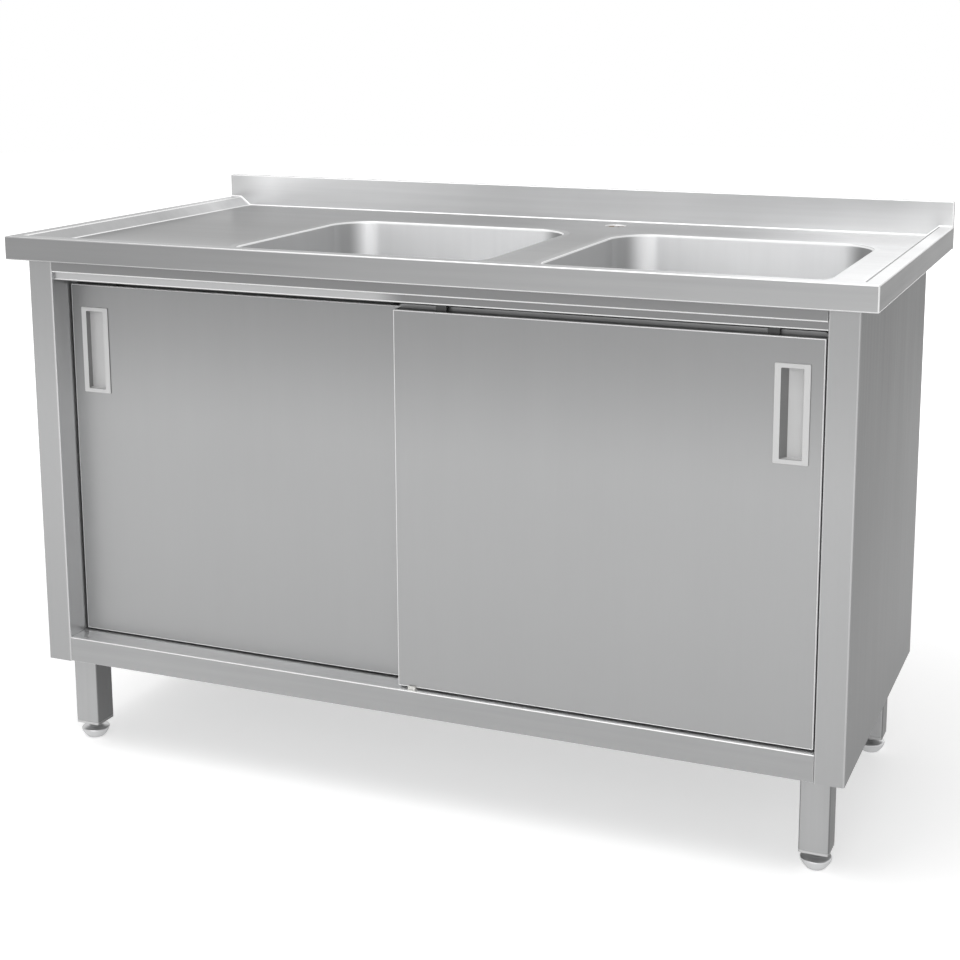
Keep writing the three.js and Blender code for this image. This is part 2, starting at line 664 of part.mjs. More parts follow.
/** Front rail under the worktop: a face between the posts and a flange that carries both tracks. */
function frontTopRail() {
  const outline = foldedOutline([
    [rearTrackBack, cupboardTop],
    [cupboardFront, cupboardTop],
    [cupboardFront, topRailBottom],
    [frontDoorFace + DOOR_THICKNESS / 2 - TRACK_WIDTH / 2 - SEAT_GAP, topRailBottom],
  ], SHEET);
  return alongX(new THREE.Shape(outline), -fitHalf, fitHalf);
}

function rearTopRail() {
  const outline = foldedOutline([
    [rearRailFront, cupboardTop - REAR_RAIL_HEIGHT],
    [shelfBack, cupboardTop - REAR_RAIL_HEIGHT],
    [shelfBack, cupboardTop],
    [rearRailFront, cupboardTop],
  ], SHEET);
  return alongX(new THREE.Shape(outline), -cornerHalf, cornerHalf);
}

/** Channel from the front rail to the rear rail, open side down. */
function crossBrace(centreX) {
  const half = BRACE_WIDTH / 2;
  const outline = foldedOutline([
    [centreX + half, cupboardTop - BRACE_HEIGHT],
    [centreX + half, cupboardTop],
    [centreX - half, cupboardTop],
    [centreX - half, cupboardTop - BRACE_HEIGHT],
  ], SHEET);
  return alongY(new THREE.Shape(outline), rearTrackBack + SEAT_GAP, rearRailFront - SEAT_GAP);
}

function doorTrack(faceY) {
  const start = faceY + DOOR_THICKNESS / 2 - TRACK_WIDTH / 2;
  const end = start + TRACK_WIDTH;
  const outline = foldedOutline([
    [end - TRACK_LIP, trackBottom],
    [end, trackBottom],
    [end, trackTop],
    [start, trackTop],
    [start, trackBottom],
    [start + TRACK_LIP, trackBottom],
  ], SHEET);
  return alongX(new THREE.Shape(outline), -fitHalf, fitHalf);
}

/** Guide in the middle of the shelf's front: both doors pass between its fins when they slide. */
function centreGuide() {
  const base = shelfTop + SEAT_GAP;
  const floor = base + GUIDE_BASE;
  const frontFace = frontDoorFace - RUN_GAP;
  const frontBack = frontDoorFace + DOOR_THICKNESS + RUN_GAP;
  const rearFace = rearDoorFace - RUN_GAP;
  const rearBack = rearDoorFace + DOOR_THICKNESS + RUN_GAP;
  const outline = new THREE.Shape([
    point(frontFace - GUIDE_FIN, base),
    point(rearBack + GUIDE_FIN, base),
    point(rearBack + GUIDE_FIN, base + GUIDE_REAR_HEIGHT),
    point(rearBack, base + GUIDE_REAR_HEIGHT),
    point(rearBack, floor),
    point(rearFace, floor),
    point(rearFace, base + GUIDE_REAR_HEIGHT),
    point(frontBack, base + GUIDE_REAR_HEIGHT),
    point(frontBack, floor),
    point(frontFace, floor),
    point(frontFace, base + GUIDE_FRONT_HEIGHT),
    point(frontFace - GUIDE_FIN, base + GUIDE_FRONT_HEIGHT),
  ]);
  return alongX(outline, -GUIDE_LENGTH / 2, GUIDE_LENGTH / 2);
}

/** Rubber pad on a post, which the edge of the door that shuts there meets. */
function doorBuffer(side, faceY) {
  const middleY = faceY + DOOR_THICKNESS / 2;
  const middleZ = (doorBottom + doorTop) / 2;
  const thickness = DOOR_SIDE_GAP - SEAT_GAP - RUN_GAP;
  const strip = roundedRectangle(BUFFER_WIDTH / 2, BUFFER_HEIGHT / 2, BUFFER_WIDTH / 4, middleY, middleZ);
  const inner = side * (fitHalf - thickness);
  const outer = side * fitHalf;
  return alongX(strip, Math.min(inner, outer), Math.max(inner, outer), 3);
}

function makeCupboard() {
  add('side_panel_left', sidePanel(-1), sheetSteel);
  add('side_panel_right', sidePanel(1), sheetSteel);
  const panelTop = cupboardTop - REAR_RAIL_HEIGHT - SERVICE_GAP;
  const backPanel = block(-cornerHalf, cornerHalf, shelfBack - SHEET, shelfBack, shelfTop + SEAT_GAP,
    panelTop);
  add('back_panel', backPanel, sheetSteel);
  add('bottom_shelf', bottomShelf(), sheetSteel);
  add('shelf_stiffener', shelfStiffener(), zincSteel);
  add('front_top_rail', frontTopRail(), sheetSteel);
  add('rear_top_rail', rearTopRail(), sheetSteel);
  add('cross_brace_left', crossBrace(leftBowlX - bowlHalfX - BRACE_SETBACK), zincSteel);
  add('cross_brace_middle', crossBrace(tapHoleX), zincSteel);
  add('front_track', doorTrack(frontDoorFace), sheetSteel);
  add('rear_track', doorTrack(rearDoorFace), sheetSteel);
  add('centre_guide', centreGuide(), whiteNylon);
  add('door_buffer_left', doorBuffer(-1, rearDoorFace), rubber);
  add('door_buffer_right', doorBuffer(1, frontDoorFace), rubber);
}

// ---- Legs and feet -----------------------------------------------------------------------------

function legTube() {
  const tube = roundedRectangle(LEG_SIZE / 2, LEG_SIZE / 2, LEG_CORNER);
  const inner = LEG_SIZE / 2 - LEG_WALL;
  tube.holes.push(roundedRectangle(inner, inner, LEG_CORNER - LEG_WALL));
  return upright(tube, legBottom, legTop, EDGE_STEPS);
}

function legPlate() {
  const half = LEG_SIZE / 2 + LEG_PLATE_LIP;
  return upright(roundedRectangle(half, half, LEG_CORNER), legPlateTop - LEG_PLATE_THICKNESS, legPlateTop,
    EDGE_STEPS);
}

/** Plug in the leg's end, bored for the foot's stem. */
function footInsert() {
  const flange = upright(roundedRectangle(LEG_SIZE / 2, LEG_SIZE / 2, LEG_CORNER), FOOT_DROP,
    FOOT_DROP + INSERT_FLANGE, EDGE_STEPS);
  const inner = LEG_SIZE / 2 - LEG_WALL - SEAT_GAP;
  const plug = upright(roundedRectangle(inner, inner, LEG_CORNER - LEG_WALL), FOOT_DROP,
    FOOT_DROP + INSERT_HEIGHT, EDGE_STEPS);
  const bore = upright(circle(STEM_RADIUS + RUN_GAP), FOOT_DROP - 1, FOOT_DROP + INSERT_HEIGHT + 1,
    BORE_STEPS);
  return cut(joined(flange, plug), bore);
}

/** Adjustable foot: a cup-shaped base with a threaded stem that screws into the insert. */
function foot() {
  const flare = (share) => FOOT_WAIST_RADIUS
    + (FOOT_RADIUS - FOOT_WAIST_RADIUS) * Math.sin((share * Math.PI) / 2);
  const cup = [0, 0.33, 0.66, 1].map((share) => [flare(share), 0.5 + share * (FOOT_WIDEST - 0.5)]);
  return turned([
    [0, 0],
    [FOOT_WAIST_RADIUS - 0.5, 0],
    ...cup,
    [FOOT_RADIUS - 1.5, FOOT_WIDEST + 2],
    [FOOT_NECK_RADIUS + 2, FOOT_NECK_HEIGHT - 2],
    [FOOT_NECK_RADIUS, FOOT_NECK_HEIGHT],
    [STEM_RADIUS, FOOT_NECK_HEIGHT],
    [STEM_RADIUS, FOOT_DROP + STEM_LENGTH - 1],
    [STEM_RADIUS - 1, FOOT_DROP + STEM_LENGTH],
    [0, FOOT_DROP + STEM_LENGTH],
  ]);
}

function makeLegs() {
  for (const [row, y] of [['front', frontLegY], ['rear', backLegY]]) {
    for (const [side, x] of [['left', -legX], ['right', legX]]) {
      add(`leg_${row}_${side}`, legTube(), brushedSteel, x, y);
      add(`leg_plate_${row}_${side}`, legPlate(), zincSteel, x, y);
      add(`foot_insert_${row}_${side}`, footInsert(), greyPlastic, x, y);
      add(`foot_${row}_${side}`, foot(), brushedSteel, x, y);
    }
  }
}

// ---- Doors -------------------------------------------------------------------------------------

const handleOffset = doorWidth / 2 - HANDLE_EDGE_GAP - HANDLE_WIDTH / 2;
const handleZ = doorTop - HANDLE_TOP_GAP - HANDLE_HEIGHT / 2;

/** Front skin: a shallow pan, folded back on three sides and lipped along the top. */
function doorSkin(handleX) {
  const half = doorWidth / 2;
  const pan = block(-half, half, 0, DOOR_THICKNESS, doorBottom, doorTop);
  const hollow = block(-half + SHEET, half - SHEET, SHEET, DOOR_THICKNESS + 1, doorBottom + SHEET,
    doorTop - SHEET);
  const mouth = block(-half + SHEET, half - SHEET, DOOR_TOP_LIP, DOOR_THICKNESS + 1, doorTop - 2 * SHEET,
    doorTop + 1);
  const cupHalf = HANDLE_MOUTH_WIDTH / 2 + HANDLE_WALL + HANDLE_UNDERCUT + SEAT_GAP;
  const cupHeight = HANDLE_MOUTH_HEIGHT / 2 + HANDLE_WALL + SEAT_GAP;
  const hole = alongY(roundedRectangle(cupHalf, cupHeight, HANDLE_CORNER, handleX, handleZ), -1, SHEET + 1, 2);
  return cut(pan, hollow, mouth, hole);
}

/** Back skin between the pan's returns; its top edge stands above the front skin. */
function doorBack() {
  const half = doorWidth / 2 - SHEET - SEAT_GAP;
  const bottom = doorBottom + SHEET + SEAT_GAP;
  const top = doorTop + DOOR_BACK_RISE;
  const r = DOOR_BACK_CORNER;
  const sheet = new THREE.Shape([point(-half, bottom), point(half, bottom)]);
  sheet.absarc(half - r, top - r, r, 0, Math.PI / 2);
  sheet.absarc(-half + r, top - r, r, Math.PI / 2, Math.PI);
  sheet.closePath();
  return alongY(sheet, DOOR_THICKNESS - SHEET, DOOR_THICKNESS, BEND_STEPS);
}

const channelFloor = doorTop - SHEET - SEAT_GAP - CHANNEL_DEPTH;

/** Open channel in the door's top, which the hangers stand in. */
function doorChannel() {
  const start = SHEET + SEAT_GAP;
  const end = DOOR_THICKNESS - SHEET - SEAT_GAP;
  const rim = channelFloor + CHANNEL_DEPTH;
  const outline = foldedOutline([[start, rim], [start, channelFloor], [end, channelFloor], [end, rim]], SHEET);
  const half = doorWidth / 2 - SHEET - SEAT_GAP;
  return alongX(new THREE.Shape(outline), -half, half);
}

/** Hanger: a base in the door's channel and a strap up through the track's slot to the axle. */
function hanger() {
  const base = channelFloor + SHEET + SEAT_GAP;
  const floor = base + HANGER_THICKNESS;
  const middle = DOOR_THICKNESS / 2;
  const halfBase = HANGER_BASE_LENGTH / 2;
  const foot = block(-halfBase, halfBase, middle - HANGER_BASE_WIDTH / 2, middle + HANGER_BASE_WIDTH / 2, base,
    floor);
  const bore = AXLE_RADIUS + RUN_GAP;
  const eye = bore + HANGER_EYE;
  const outline = new THREE.Shape([point(-eye, base), point(eye, base)]);
  outline.absarc(0, axleZ, eye, 0, Math.PI);
  outline.closePath();
  const plate = alongY(outline, middle - HANGER_THICKNESS / 2, middle + HANGER_THICKNESS / 2, ROUND_STEPS / 2);
  const hole = alongY(circle(bore, 0, axleZ), 0, DOOR_THICKNESS, BORE_STEPS);
  return cut(joined(foot, plate), hole);
}

/** Pair of nylon wheels on their axle, which turns in the hanger's bore. */
function roller() {
  const near = HANGER_THICKNESS / 2 + RUN_GAP;
  const wheel = HANGER_THICKNESS / 2 + ROLLER_HUB;
  const end = wheel + ROLLER_WIDTH;
  const half = [
    [AXLE_RADIUS, near],
    [ROLLER_HUB_RADIUS, near],
    [ROLLER_HUB_RADIUS, wheel],
    [ROLLER_RADIUS, wheel],
    [ROLLER_RADIUS, end],
    [0, end],
  ];
  const mirrored = half.map(([r, z]) => [r, -z]).reverse();
  return turned([...mirrored, ...half]).rotateX(Math.PI / 2);
}

/**
 * Flush cup: a flange on the skin, a hooked wall beside the door's edge, on `side`, and a sloped wall
 * across from it.
 */
function handleCup(side) {
  const mouthX = HANDLE_MOUTH_WIDTH / 2;
  const mouthY = HANDLE_MOUTH_HEIGHT / 2;
  const at = (hookSide, slopeSide, halfY, radius, z) =>
    ring((hookSide + slopeSide) / 2, halfY, radius, z, (side * (hookSide - slopeSide)) / 2, EDGE_STEPS);
  const hook = mouthX + HANDLE_UNDERCUT;
  const slope = mouthX - HANDLE_SLOPE;
  const flangeX = HANDLE_WIDTH / 2;
  const flangeY = HANDLE_HEIGHT / 2;
  const r = HANDLE_CORNER;
  const w = HANDLE_WALL;
  const rings = [
    at(hook + w, slope + w, mouthY + w, r, SEAT_GAP - HANDLE_DEPTH),
    at(hook + w, mouthX + w, mouthY + w, r, 0),
    at(flangeX, flangeX, flangeY, r, 0),
    at(flangeX, flangeX, flangeY, r, 0.5 * w),
    at(flangeX - 0.5 * w, flangeX - 0.5 * w, flangeY - 0.5 * w, 0.6 * r, w),
    at(mouthX, mouthX, mouthY, 0.6 * r, w),
    at(mouthX, mouthX, mouthY, 0.6 * r, 0),
    at(hook, mouthX, mouthY, 0.6 * r, -0.2 * w),
    at(hook, slope, mouthY, 0.6 * r, w + SEAT_GAP - HANDLE_DEPTH),
  ];
  return loft(rings, rings[0].map((p) => point(p.x, p.y))).rotateX(Math.PI / 2);
}

/** One door with its running gear. `side` is the side that it covers when shut. */
function makeDoor(name, side, faceY) {
  const x = side * doorX;
  add(`${name}_skin`, doorSkin(side * handleOffset), sheetSteel, x, faceY);
  add(`${name}_back`, doorBack(), sheetSteel, x, faceY);
  add(`${name}_channel`, doorChannel(), zincSteel, x, faceY);
  add(`${name}_handle`, handleCup(side), greyPlastic, x + side * handleOffset, faceY - SEAT_GAP, handleZ);
  const hangerOffset = doorWidth / 2 - HANGER_SETBACK;
  for (const [end, sign] of [['left', -1], ['right', 1]]) {
    const hangerX = x + sign * hangerOffset;
    add(`${name}_hanger_${end}`, hanger(), zincSteel, hangerX, faceY);
    add(`${name}_roller_${end}`, roller(), whiteNylon, hangerX, faceY + DOOR_THICKNESS / 2, axleZ);
  }
}

makeWorktop();
makeBowls();
makeCupboard();
makeLegs();
makeDoor('front_door', 1, frontDoorFace);
makeDoor('rear_door', -1, rearDoorFace);

export default unit;
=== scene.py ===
# Kitchen sink unit in folded stainless steel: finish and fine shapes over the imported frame, on a studio
# floor. The pieces' sizes are in millimetres, and are brought to metres when a piece is finished.

import math
import bmesh
import bpy
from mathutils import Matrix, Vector


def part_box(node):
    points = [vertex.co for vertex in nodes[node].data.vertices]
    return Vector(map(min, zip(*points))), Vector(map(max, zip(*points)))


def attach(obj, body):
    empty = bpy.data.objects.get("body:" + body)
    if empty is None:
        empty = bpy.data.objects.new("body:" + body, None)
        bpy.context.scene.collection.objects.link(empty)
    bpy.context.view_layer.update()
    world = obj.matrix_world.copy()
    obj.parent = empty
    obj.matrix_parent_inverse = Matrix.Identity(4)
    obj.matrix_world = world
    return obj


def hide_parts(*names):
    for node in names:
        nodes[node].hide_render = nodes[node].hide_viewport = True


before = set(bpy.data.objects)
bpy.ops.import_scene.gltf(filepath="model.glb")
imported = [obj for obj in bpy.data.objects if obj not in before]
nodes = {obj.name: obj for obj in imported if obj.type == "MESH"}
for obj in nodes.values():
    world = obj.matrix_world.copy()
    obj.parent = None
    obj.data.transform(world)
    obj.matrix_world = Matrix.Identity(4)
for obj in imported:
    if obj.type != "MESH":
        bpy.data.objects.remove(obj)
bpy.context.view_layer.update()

MM = 0.001
TOP_SHEET, SHEET = 1.5, 1.2
SIDES = ("left", "right")
CORNERS = ("front_left", "front_right", "rear_left", "rear_right")
DOORS = ("front_door", "rear_door")

# Worktop: outline, heights, and the runs of its folded section from the deck outwards.
LEFT, RIGHT, FRONT, BACK = -700, 700, -350, 350
DECK, RIM, FASCIA_FOOT, UPSTAND_TOP = 854, 870, 832, 913
SLOPE_RUN, RIM_FLAT, FASCIA_RETURN, UPSTAND_RETURN = 20, 23, 14, 8
UPSTAND_FACE, DECK_BAND = 338, 9
TAP_X, TAP_Y, TAP_RADIUS, TAP_COLLAR = 124, 275, 17, 9

# Bowls: middles along X, the opening's half width and corner, and the pressing's radii and draft.
BOWLS = {"left": -139, "right": 387}
BOWL_Y, BOWL_HALF, BOWL_CORNER, BOWL_LIP = -35, 230, 78, 12
BOWL_FLOOR, BOWL_DRAFT, BOWL_FOOT_RADIUS, LIP_RADIUS = 604, 6, 38, 5

# Wastes: the floor dips to a seat, which the flange's profile of (radius, height over the seat) lies on.
# The strainer lies below the flange's top and has rings of holes, given as (radius, number of holes).
SEAT_EDGE, SEAT_RADIUS, WASTE_HOLE = 46, 42, 29
SEAT_DIP, SEAT_STEP = 5, 4
WASTE_SEAT = BOWL_FLOOR - SEAT_DIP - SEAT_STEP
WASTE_BORE, WASTE_TAIL = 27.2, 44
WASTE_PROFILE = [(28.7, -WASTE_TAIL), (28.7, 0), (37.6, 0.3), (39.1, 0.8), (39.1, 1.4), (38.4, 1.9),
                 (29.6, 1.9), (28.0, 1.2), (WASTE_BORE, -0.4), (WASTE_BORE, -WASTE_TAIL),
                 (28.7, -WASTE_TAIL)]
FLANGE_TOP, STRAINER_DEPTH, STRAINER_SHEET, STRAINER_HOLE = 1.8, 8, 1.4, 3.5
STRAINER_RINGS = [(0, 1), (10.9, 4), (20.4, 8)]

# Legs and feet: the foot's profile of (radius, height) goes from its pad over its dome to its screw.
LEG_HALF, LEG_WALL, LEG_CORNER = 22.5, 1.5, 4
FOOT_PROFILE = [(0, 0), (13.6, 0), (14.5, 0.4), (15.4, 1.4), (17.9, 4.2), (20.4, 7.6), (22.3, 11.2),
                (23.3, 14.2), (23.5, 15.4), (23.0, 16.4), (21.6, 17.1), (17.0, 17.7), (13.0, 18.3),
                (11.2, 19.2), (10.2, 20), (6, 20), (6, 61.5), (5, 62.5), (0, 62.5)]

# Radii of the worktop's folds, the doors' and the shelf's front one, and how far a door's opening for
# its cup lies inside the cup's flange.
FOLD_RADIUS, DOOR_FOLD, WIDE_FOLD = 2, 1.8, 1.4
CUP_INSET = 7

# Segments of each rounded corner, foot, lip, fold and circle.
OPENING_STEPS, BOWL_CORNER_STEPS, BOWL_FOOT_STEPS, LIP_STEPS = 12, 14, 10, 7
FOLD_STEPS, TUBE_STEPS, WASTE_STEPS, STRAINER_STEPS = 4, 6, 64, 16


# ---- Camera --------------------------------------------------------------------------------------

def place_camera():
    """Seen from the right and above, with the unit's middle a little below the middle of the frame."""
    data = bpy.data.cameras.new("camera")
    data.lens = 63.2
    data.shift_x, data.shift_y = -0.05, -0.15
    data.clip_start, data.clip_end = 0.05, 60
    camera = bpy.data.objects.new("camera", data)
    camera.location = (1.076, -2.539, 1.206)
    camera.rotation_euler = (math.radians(90 - 10.51), 0, math.radians(21.68))
    bpy.context.collection.objects.link(camera)
    bpy.context.scene.camera = camera


place_camera()


# ---- Shader groups -------------------------------------------------------------------------------

def new_group(name, inputs, outputs):
    """An empty shader group with those sockets; gives its tree and its two ends."""
    tree = bpy.data.node_groups.new(name, "ShaderNodeTree")
    for title, kind, value in inputs:
        socket = tree.interface.new_socket(title, in_out="INPUT", socket_type=kind)
        if value is not None:
            socket.default_value = value
    for title, kind in outputs:
        tree.interface.new_socket(title, in_out="OUTPUT", socket_type=kind)
    return tree, tree.nodes.new("NodeGroupInput"), tree.nodes.new("NodeGroupOutput")


def maths(tree, operation, a, b=None, clamp=False):
    """A Math node; each operand is a socket or a number. Gives its output."""
    node = tree.nodes.new("ShaderNodeMath")
    node.operation, node.use_clamp = operation, clamp
    for socket, value in zip(node.inputs, (a, b)):
        feed(tree, value, socket)
    return node.outputs[0]


def feed(tree, value, socket):
    if isinstance(value, bpy.types.NodeSocket):
        tree.links.new(value, socket)
    elif value is not None:
        socket.default_value = value


def noise(tree, vector, scale, detail=2.0, roughness=0.5):
    """Noise from 0 to 1 on coordinates stretched by scale (x, y, z), per metre."""
    mapping = tree.nodes.new("ShaderNodeMapping")
    mapping.inputs["Scale"].default_value = scale
    tree.links.new(vector, mapping.inputs["Vector"])
    texture = tree.nodes.new("ShaderNodeTexNoise")
    texture.inputs["Scale"].default_value = 1.0
    texture.inputs["Detail"].default_value = detail
    texture.inputs["Roughness"].default_value = roughness
    tree.links.new(mapping.outputs[0], texture.inputs["Vector"])
    return texture.outputs[0]


def centred(tree, value, amount):
    """(value - 0.5) * amount."""
    return maths(tree, "MULTIPLY", maths(tree, "SUBTRACT", value, 0.5), amount)


def stepped(tree, value, start, *steps):
    """start plus a soft step of each (from, to, change) as the value passes from one to the other."""
    total = start
    for low, high, change in steps:
        step = tree.nodes.new("ShaderNodeMapRange")
        step.interpolation_type = "SMOOTHSTEP"
        step.inputs["From Min"].default_value, step.inputs["From Max"].default_value = low, high
        step.inputs["To Max"].default_value = change
        tree.links.new(value, step.inputs["Value"])
        total = maths(tree, "ADD", step.outputs[0], total)
    return total


def placed(tree, axis, output="Object"):
    """One axis of the piece's coordinates, or of its Normal."""
    parts = tree.nodes.new("ShaderNodeSeparateXYZ")
    tree.links.new(tree.nodes.new("ShaderNodeTexCoord").outputs[output], parts.inputs[0])
    return parts.outputs["XYZ".index(axis)]


def sideways(tree):
    """1 on the faces that look left or right."""
    return stepped(tree, maths(tree, "ABSOLUTE", placed(tree, "X", "Normal")), 0.0, (0.45, 0.85, 1.0))


def marked(tree, attribute):
    """The value that a piece's faces carry under that name."""
    node = tree.nodes.new("ShaderNodeAttribute")
    node.attribute_name = attribute
    return node.outputs["Fac"]


def make_brushed_group():
    """Brushed sheet, with its grain along the vector's X: tone and gloss about zero, and a height."""
    tree, start, end = new_group(
        "brushed grain",
        [("Vector", "NodeSocketVector", None), ("Grain", "NodeSocketFloat", 0.05),
         ("Streaks", "NodeSocketFloat", 0.1), ("Clouds", "NodeSocketFloat", 0.08)],
        [("Tone", "NodeSocketFloat"), ("Gloss", "NodeSocketFloat"), ("Height", "NodeSocketFloat")])
    vector = start.outputs["Vector"]
    fine = noise(tree, vector, (14, 1900, 1900), 3.0, 0.6)
    streak = noise(tree, vector, (2.2, 95, 95), 3.0, 0.55)
    band = noise(tree, vector, (0.9, 26, 26), 2.0, 0.5)
    cloud = noise(tree, vector, (3.2, 5.5, 5.5), 3.0, 0.5)
    tone = maths(tree, "ADD", centred(tree, fine, start.outputs["Grain"]),
                 centred(tree, streak, start.outputs["Streaks"]))
    tone = maths(tree, "ADD", tone, centred(tree, band, start.outputs["Streaks"]))
    tone = maths(tree, "ADD", tone, centred(tree, cloud, start.outputs["Clouds"]))
    tree.links.new(tone, end.inputs["Tone"])
    gloss = maths(tree, "ADD", centred(tree, streak, 0.10), centred(tree, cloud, 0.12))
    tree.links.new(gloss, end.inputs["Gloss"])
    tree.links.new(maths(tree, "ADD", fine, maths(tree, "MULTIPLY", streak, 0.4)), end.inputs["Height"])
    return tree


def make_direction_group():
    """Coordinates whose X runs along the grain: level round the unit, so along Y on the end faces."""
    tree, _, end = new_group("grain round the sides", [], [("Vector", "NodeSocketVector")])
    place = tree.nodes.new("ShaderNodeTexCoord")
    parts = tree.nodes.new("ShaderNodeSeparateXYZ")
    tree.links.new(place.outputs["Object"], parts.inputs[0])
    turned = tree.nodes.new("ShaderNodeCombineXYZ")
    for source, target in ((1, 0), (0, 1), (2, 2)):
        tree.links.new(parts.outputs[source], turned.inputs[target])
    facing = tree.nodes.new("ShaderNodeSeparateXYZ")
    tree.links.new(place.outputs["Normal"], facing.inputs[0])
    end_face = maths(tree, "GREATER_THAN", maths(tree, "ABSOLUTE", facing.outputs[0]), 0.7)
    mix = tree.nodes.new("ShaderNodeMix")
    mix.data_type = "VECTOR"
    tree.links.new(end_face, mix.inputs[0])
    tree.links.new(place.outputs["Object"], mix.inputs[4])
    tree.links.new(turned.outputs[0], mix.inputs[5])
    tree.links.new(mix.outputs[1], end.inputs["Vector"])
    return tree


def make_fold_highlight_group():
    """Mask of the painted highlights on the folded and rounded edges, which a piece carries as its fold
    attribute.
    """
    tree, start, end = new_group("painted fold highlights", [("Amount", "NodeSocketFloat", 1.0)],
                                 [("Mask", "NodeSocketFloat")])
    scaled = maths(tree, "MULTIPLY", marked(tree, "fold"), start.outputs["Amount"], clamp=True)
    tree.links.new(scaled, end.inputs["Mask"])
    return tree


BRUSHED = make_brushed_group()
ROUND_SIDES = make_direction_group()
FOLD_HIGHLIGHTS = make_fold_highlight_group()


# ---- Materials -----------------------------------------------------------------------------------

COOL_GREY = (1, 1.004, 1.01)
# Tone and share of the painted highlight on folds and rounded edges.
FOLD_HIGHLIGHT_TONE, FOLD_HIGHLIGHT_AMOUNT = 0.95, 0.85
# The bowls are of the deck's steel; their higher tone is painted light.
DECK_TONE, BOWL_TONE = 0.37, 0.77


def new_material(name):
    material = bpy.data.materials.new(name)
    material.use_nodes = True
    tree = material.node_tree
    return material, tree, tree.nodes["Principled BSDF"]


def group_node(tree, group, **values):
    node = tree.nodes.new("ShaderNodeGroup")
    node.node_tree = group
    for title, value in values.items():
        feed(tree, value, node.inputs[title])
    return node


def grain_vector(tree, along):
    """Object coordinates turned so that their X runs along the grain."""
    if along == "ROUND":
        return group_node(tree, ROUND_SIDES).outputs["Vector"]
    place = tree.nodes.new("ShaderNodeTexCoord")
    mapping = tree.nodes.new("ShaderNodeMapping")
    turn = {"X": (0, 0, 0), "Y": (0, 0, math.pi / 2), "Z": (0, math.pi / 2, 0)}[along]
    mapping.inputs["Rotation"].default_value = turn
    tree.links.new(place.outputs["Object"], mapping.inputs["Vector"])
    return mapping.outputs[0]


def mixed(tree, kind, factor, a, b):
    """A colour Mix node of that blend; gives its output."""
    mix = tree.nodes.new("ShaderNodeMix")
    mix.data_type, mix.blend_type = "RGBA", kind
    feed(tree, factor, mix.inputs[0])
    feed(tree, a, mix.inputs[6])
    feed(tree, b, mix.inputs[7])
    return mix.outputs[2]


def steel(name, tone, roughness, along="ROUND", grain=0.05, streaks=0.10, clouds=0.06, bump=0.06,
          fold_highlight=FOLD_HIGHLIGHT_AMOUNT, metallic=0.9, edge=0.8, shading=None):
    """Brushed stainless sheet of one tone with painted highlights on its folds. shading(tree) gives a
    factor of painted light and shade on the tone, and the highlights' amount is a number or such a
    function; edge is the tone at a grazing angle."""
    material, tree, shader = new_material(name)
    grained = group_node(tree, BRUSHED, Vector=grain_vector(tree, along), Grain=grain, Streaks=streaks,
                         Clouds=clouds)
    level = maths(tree, "ADD", grained.outputs["Tone"], 1.0)
    if shading:
        level = maths(tree, "MULTIPLY", level, shading(tree))
    shade = tree.nodes.new("ShaderNodeVectorMath")
    shade.operation = "SCALE"
    shade.inputs[0].default_value = [tone * channel for channel in COOL_GREY]
    tree.links.new(level, shade.inputs["Scale"])
    amount = fold_highlight(tree) if callable(fold_highlight) else fold_highlight
    folds = group_node(tree, FOLD_HIGHLIGHTS, Amount=amount).outputs["Mask"]
    bright = mixed(tree, "MIX", folds, shade.outputs[0], (FOLD_HIGHLIGHT_TONE, FOLD_HIGHLIGHT_TONE, FOLD_HIGHLIGHT_TONE, 1))
    tree.links.new(bright, shader.inputs["Base Color"])
    less_metallic = maths(tree, "MULTIPLY", folds, -0.5)
    tree.links.new(maths(tree, "ADD", less_metallic, metallic), shader.inputs["Metallic"])
    shader.inputs["Specular Tint"].default_value = (edge, edge, edge, 1)
    tree.links.new(maths(tree, "ADD", grained.outputs["Gloss"], roughness), shader.inputs["Roughness"])
    relief = tree.nodes.new("ShaderNodeBump")
    relief.inputs["Strength"].default_value = bump
    relief.inputs["Distance"].default_value = 0.0004
    tree.links.new(grained.outputs["Height"], relief.inputs["Height"])
    tree.links.new(relief.outputs[0], shader.inputs["Normal"])
    return material


def moulded(name, colour, roughness, texture=0.15, coat=0.0, side_shade=0.0):
    """Moulded plastic, nylon or rubber with a fine eggshell relief. side_shade is the loss of tone on
    the faces that look left or right."""
    material, tree, shader = new_material(name)
    place = tree.nodes.new("ShaderNodeTexCoord").outputs["Object"]
    cloud = noise(tree, place, (40, 40, 40), 3.0)
    pits = noise(tree, place, (2600, 2600, 2600), 2.0)
    shade = tree.nodes.new("ShaderNodeVectorMath")
    shade.operation = "SCALE"
    shade.inputs[0].default_value = colour
    level = maths(tree, "ADD", centred(tree, cloud, 0.04), 1.0)
    if side_shade:
        level = maths(tree, "ADD", level, maths(tree, "MULTIPLY", sideways(tree), -side_shade))
    tree.links.new(level, shade.inputs["Scale"])
    tree.links.new(shade.outputs[0], shader.inputs["Base Color"])
    tree.links.new(maths(tree, "ADD", centred(tree, cloud, 0.15), roughness), shader.inputs["Roughness"])
    shader.inputs["Coat Weight"].default_value = coat
    relief = tree.nodes.new("ShaderNodeBump")
    relief.inputs["Strength"].default_value = texture
    relief.inputs["Distance"].default_value = 0.0001
    tree.links.new(pits, relief.inputs["Height"])
    tree.links.new(relief.outputs[0], shader.inputs["Normal"])
    return material


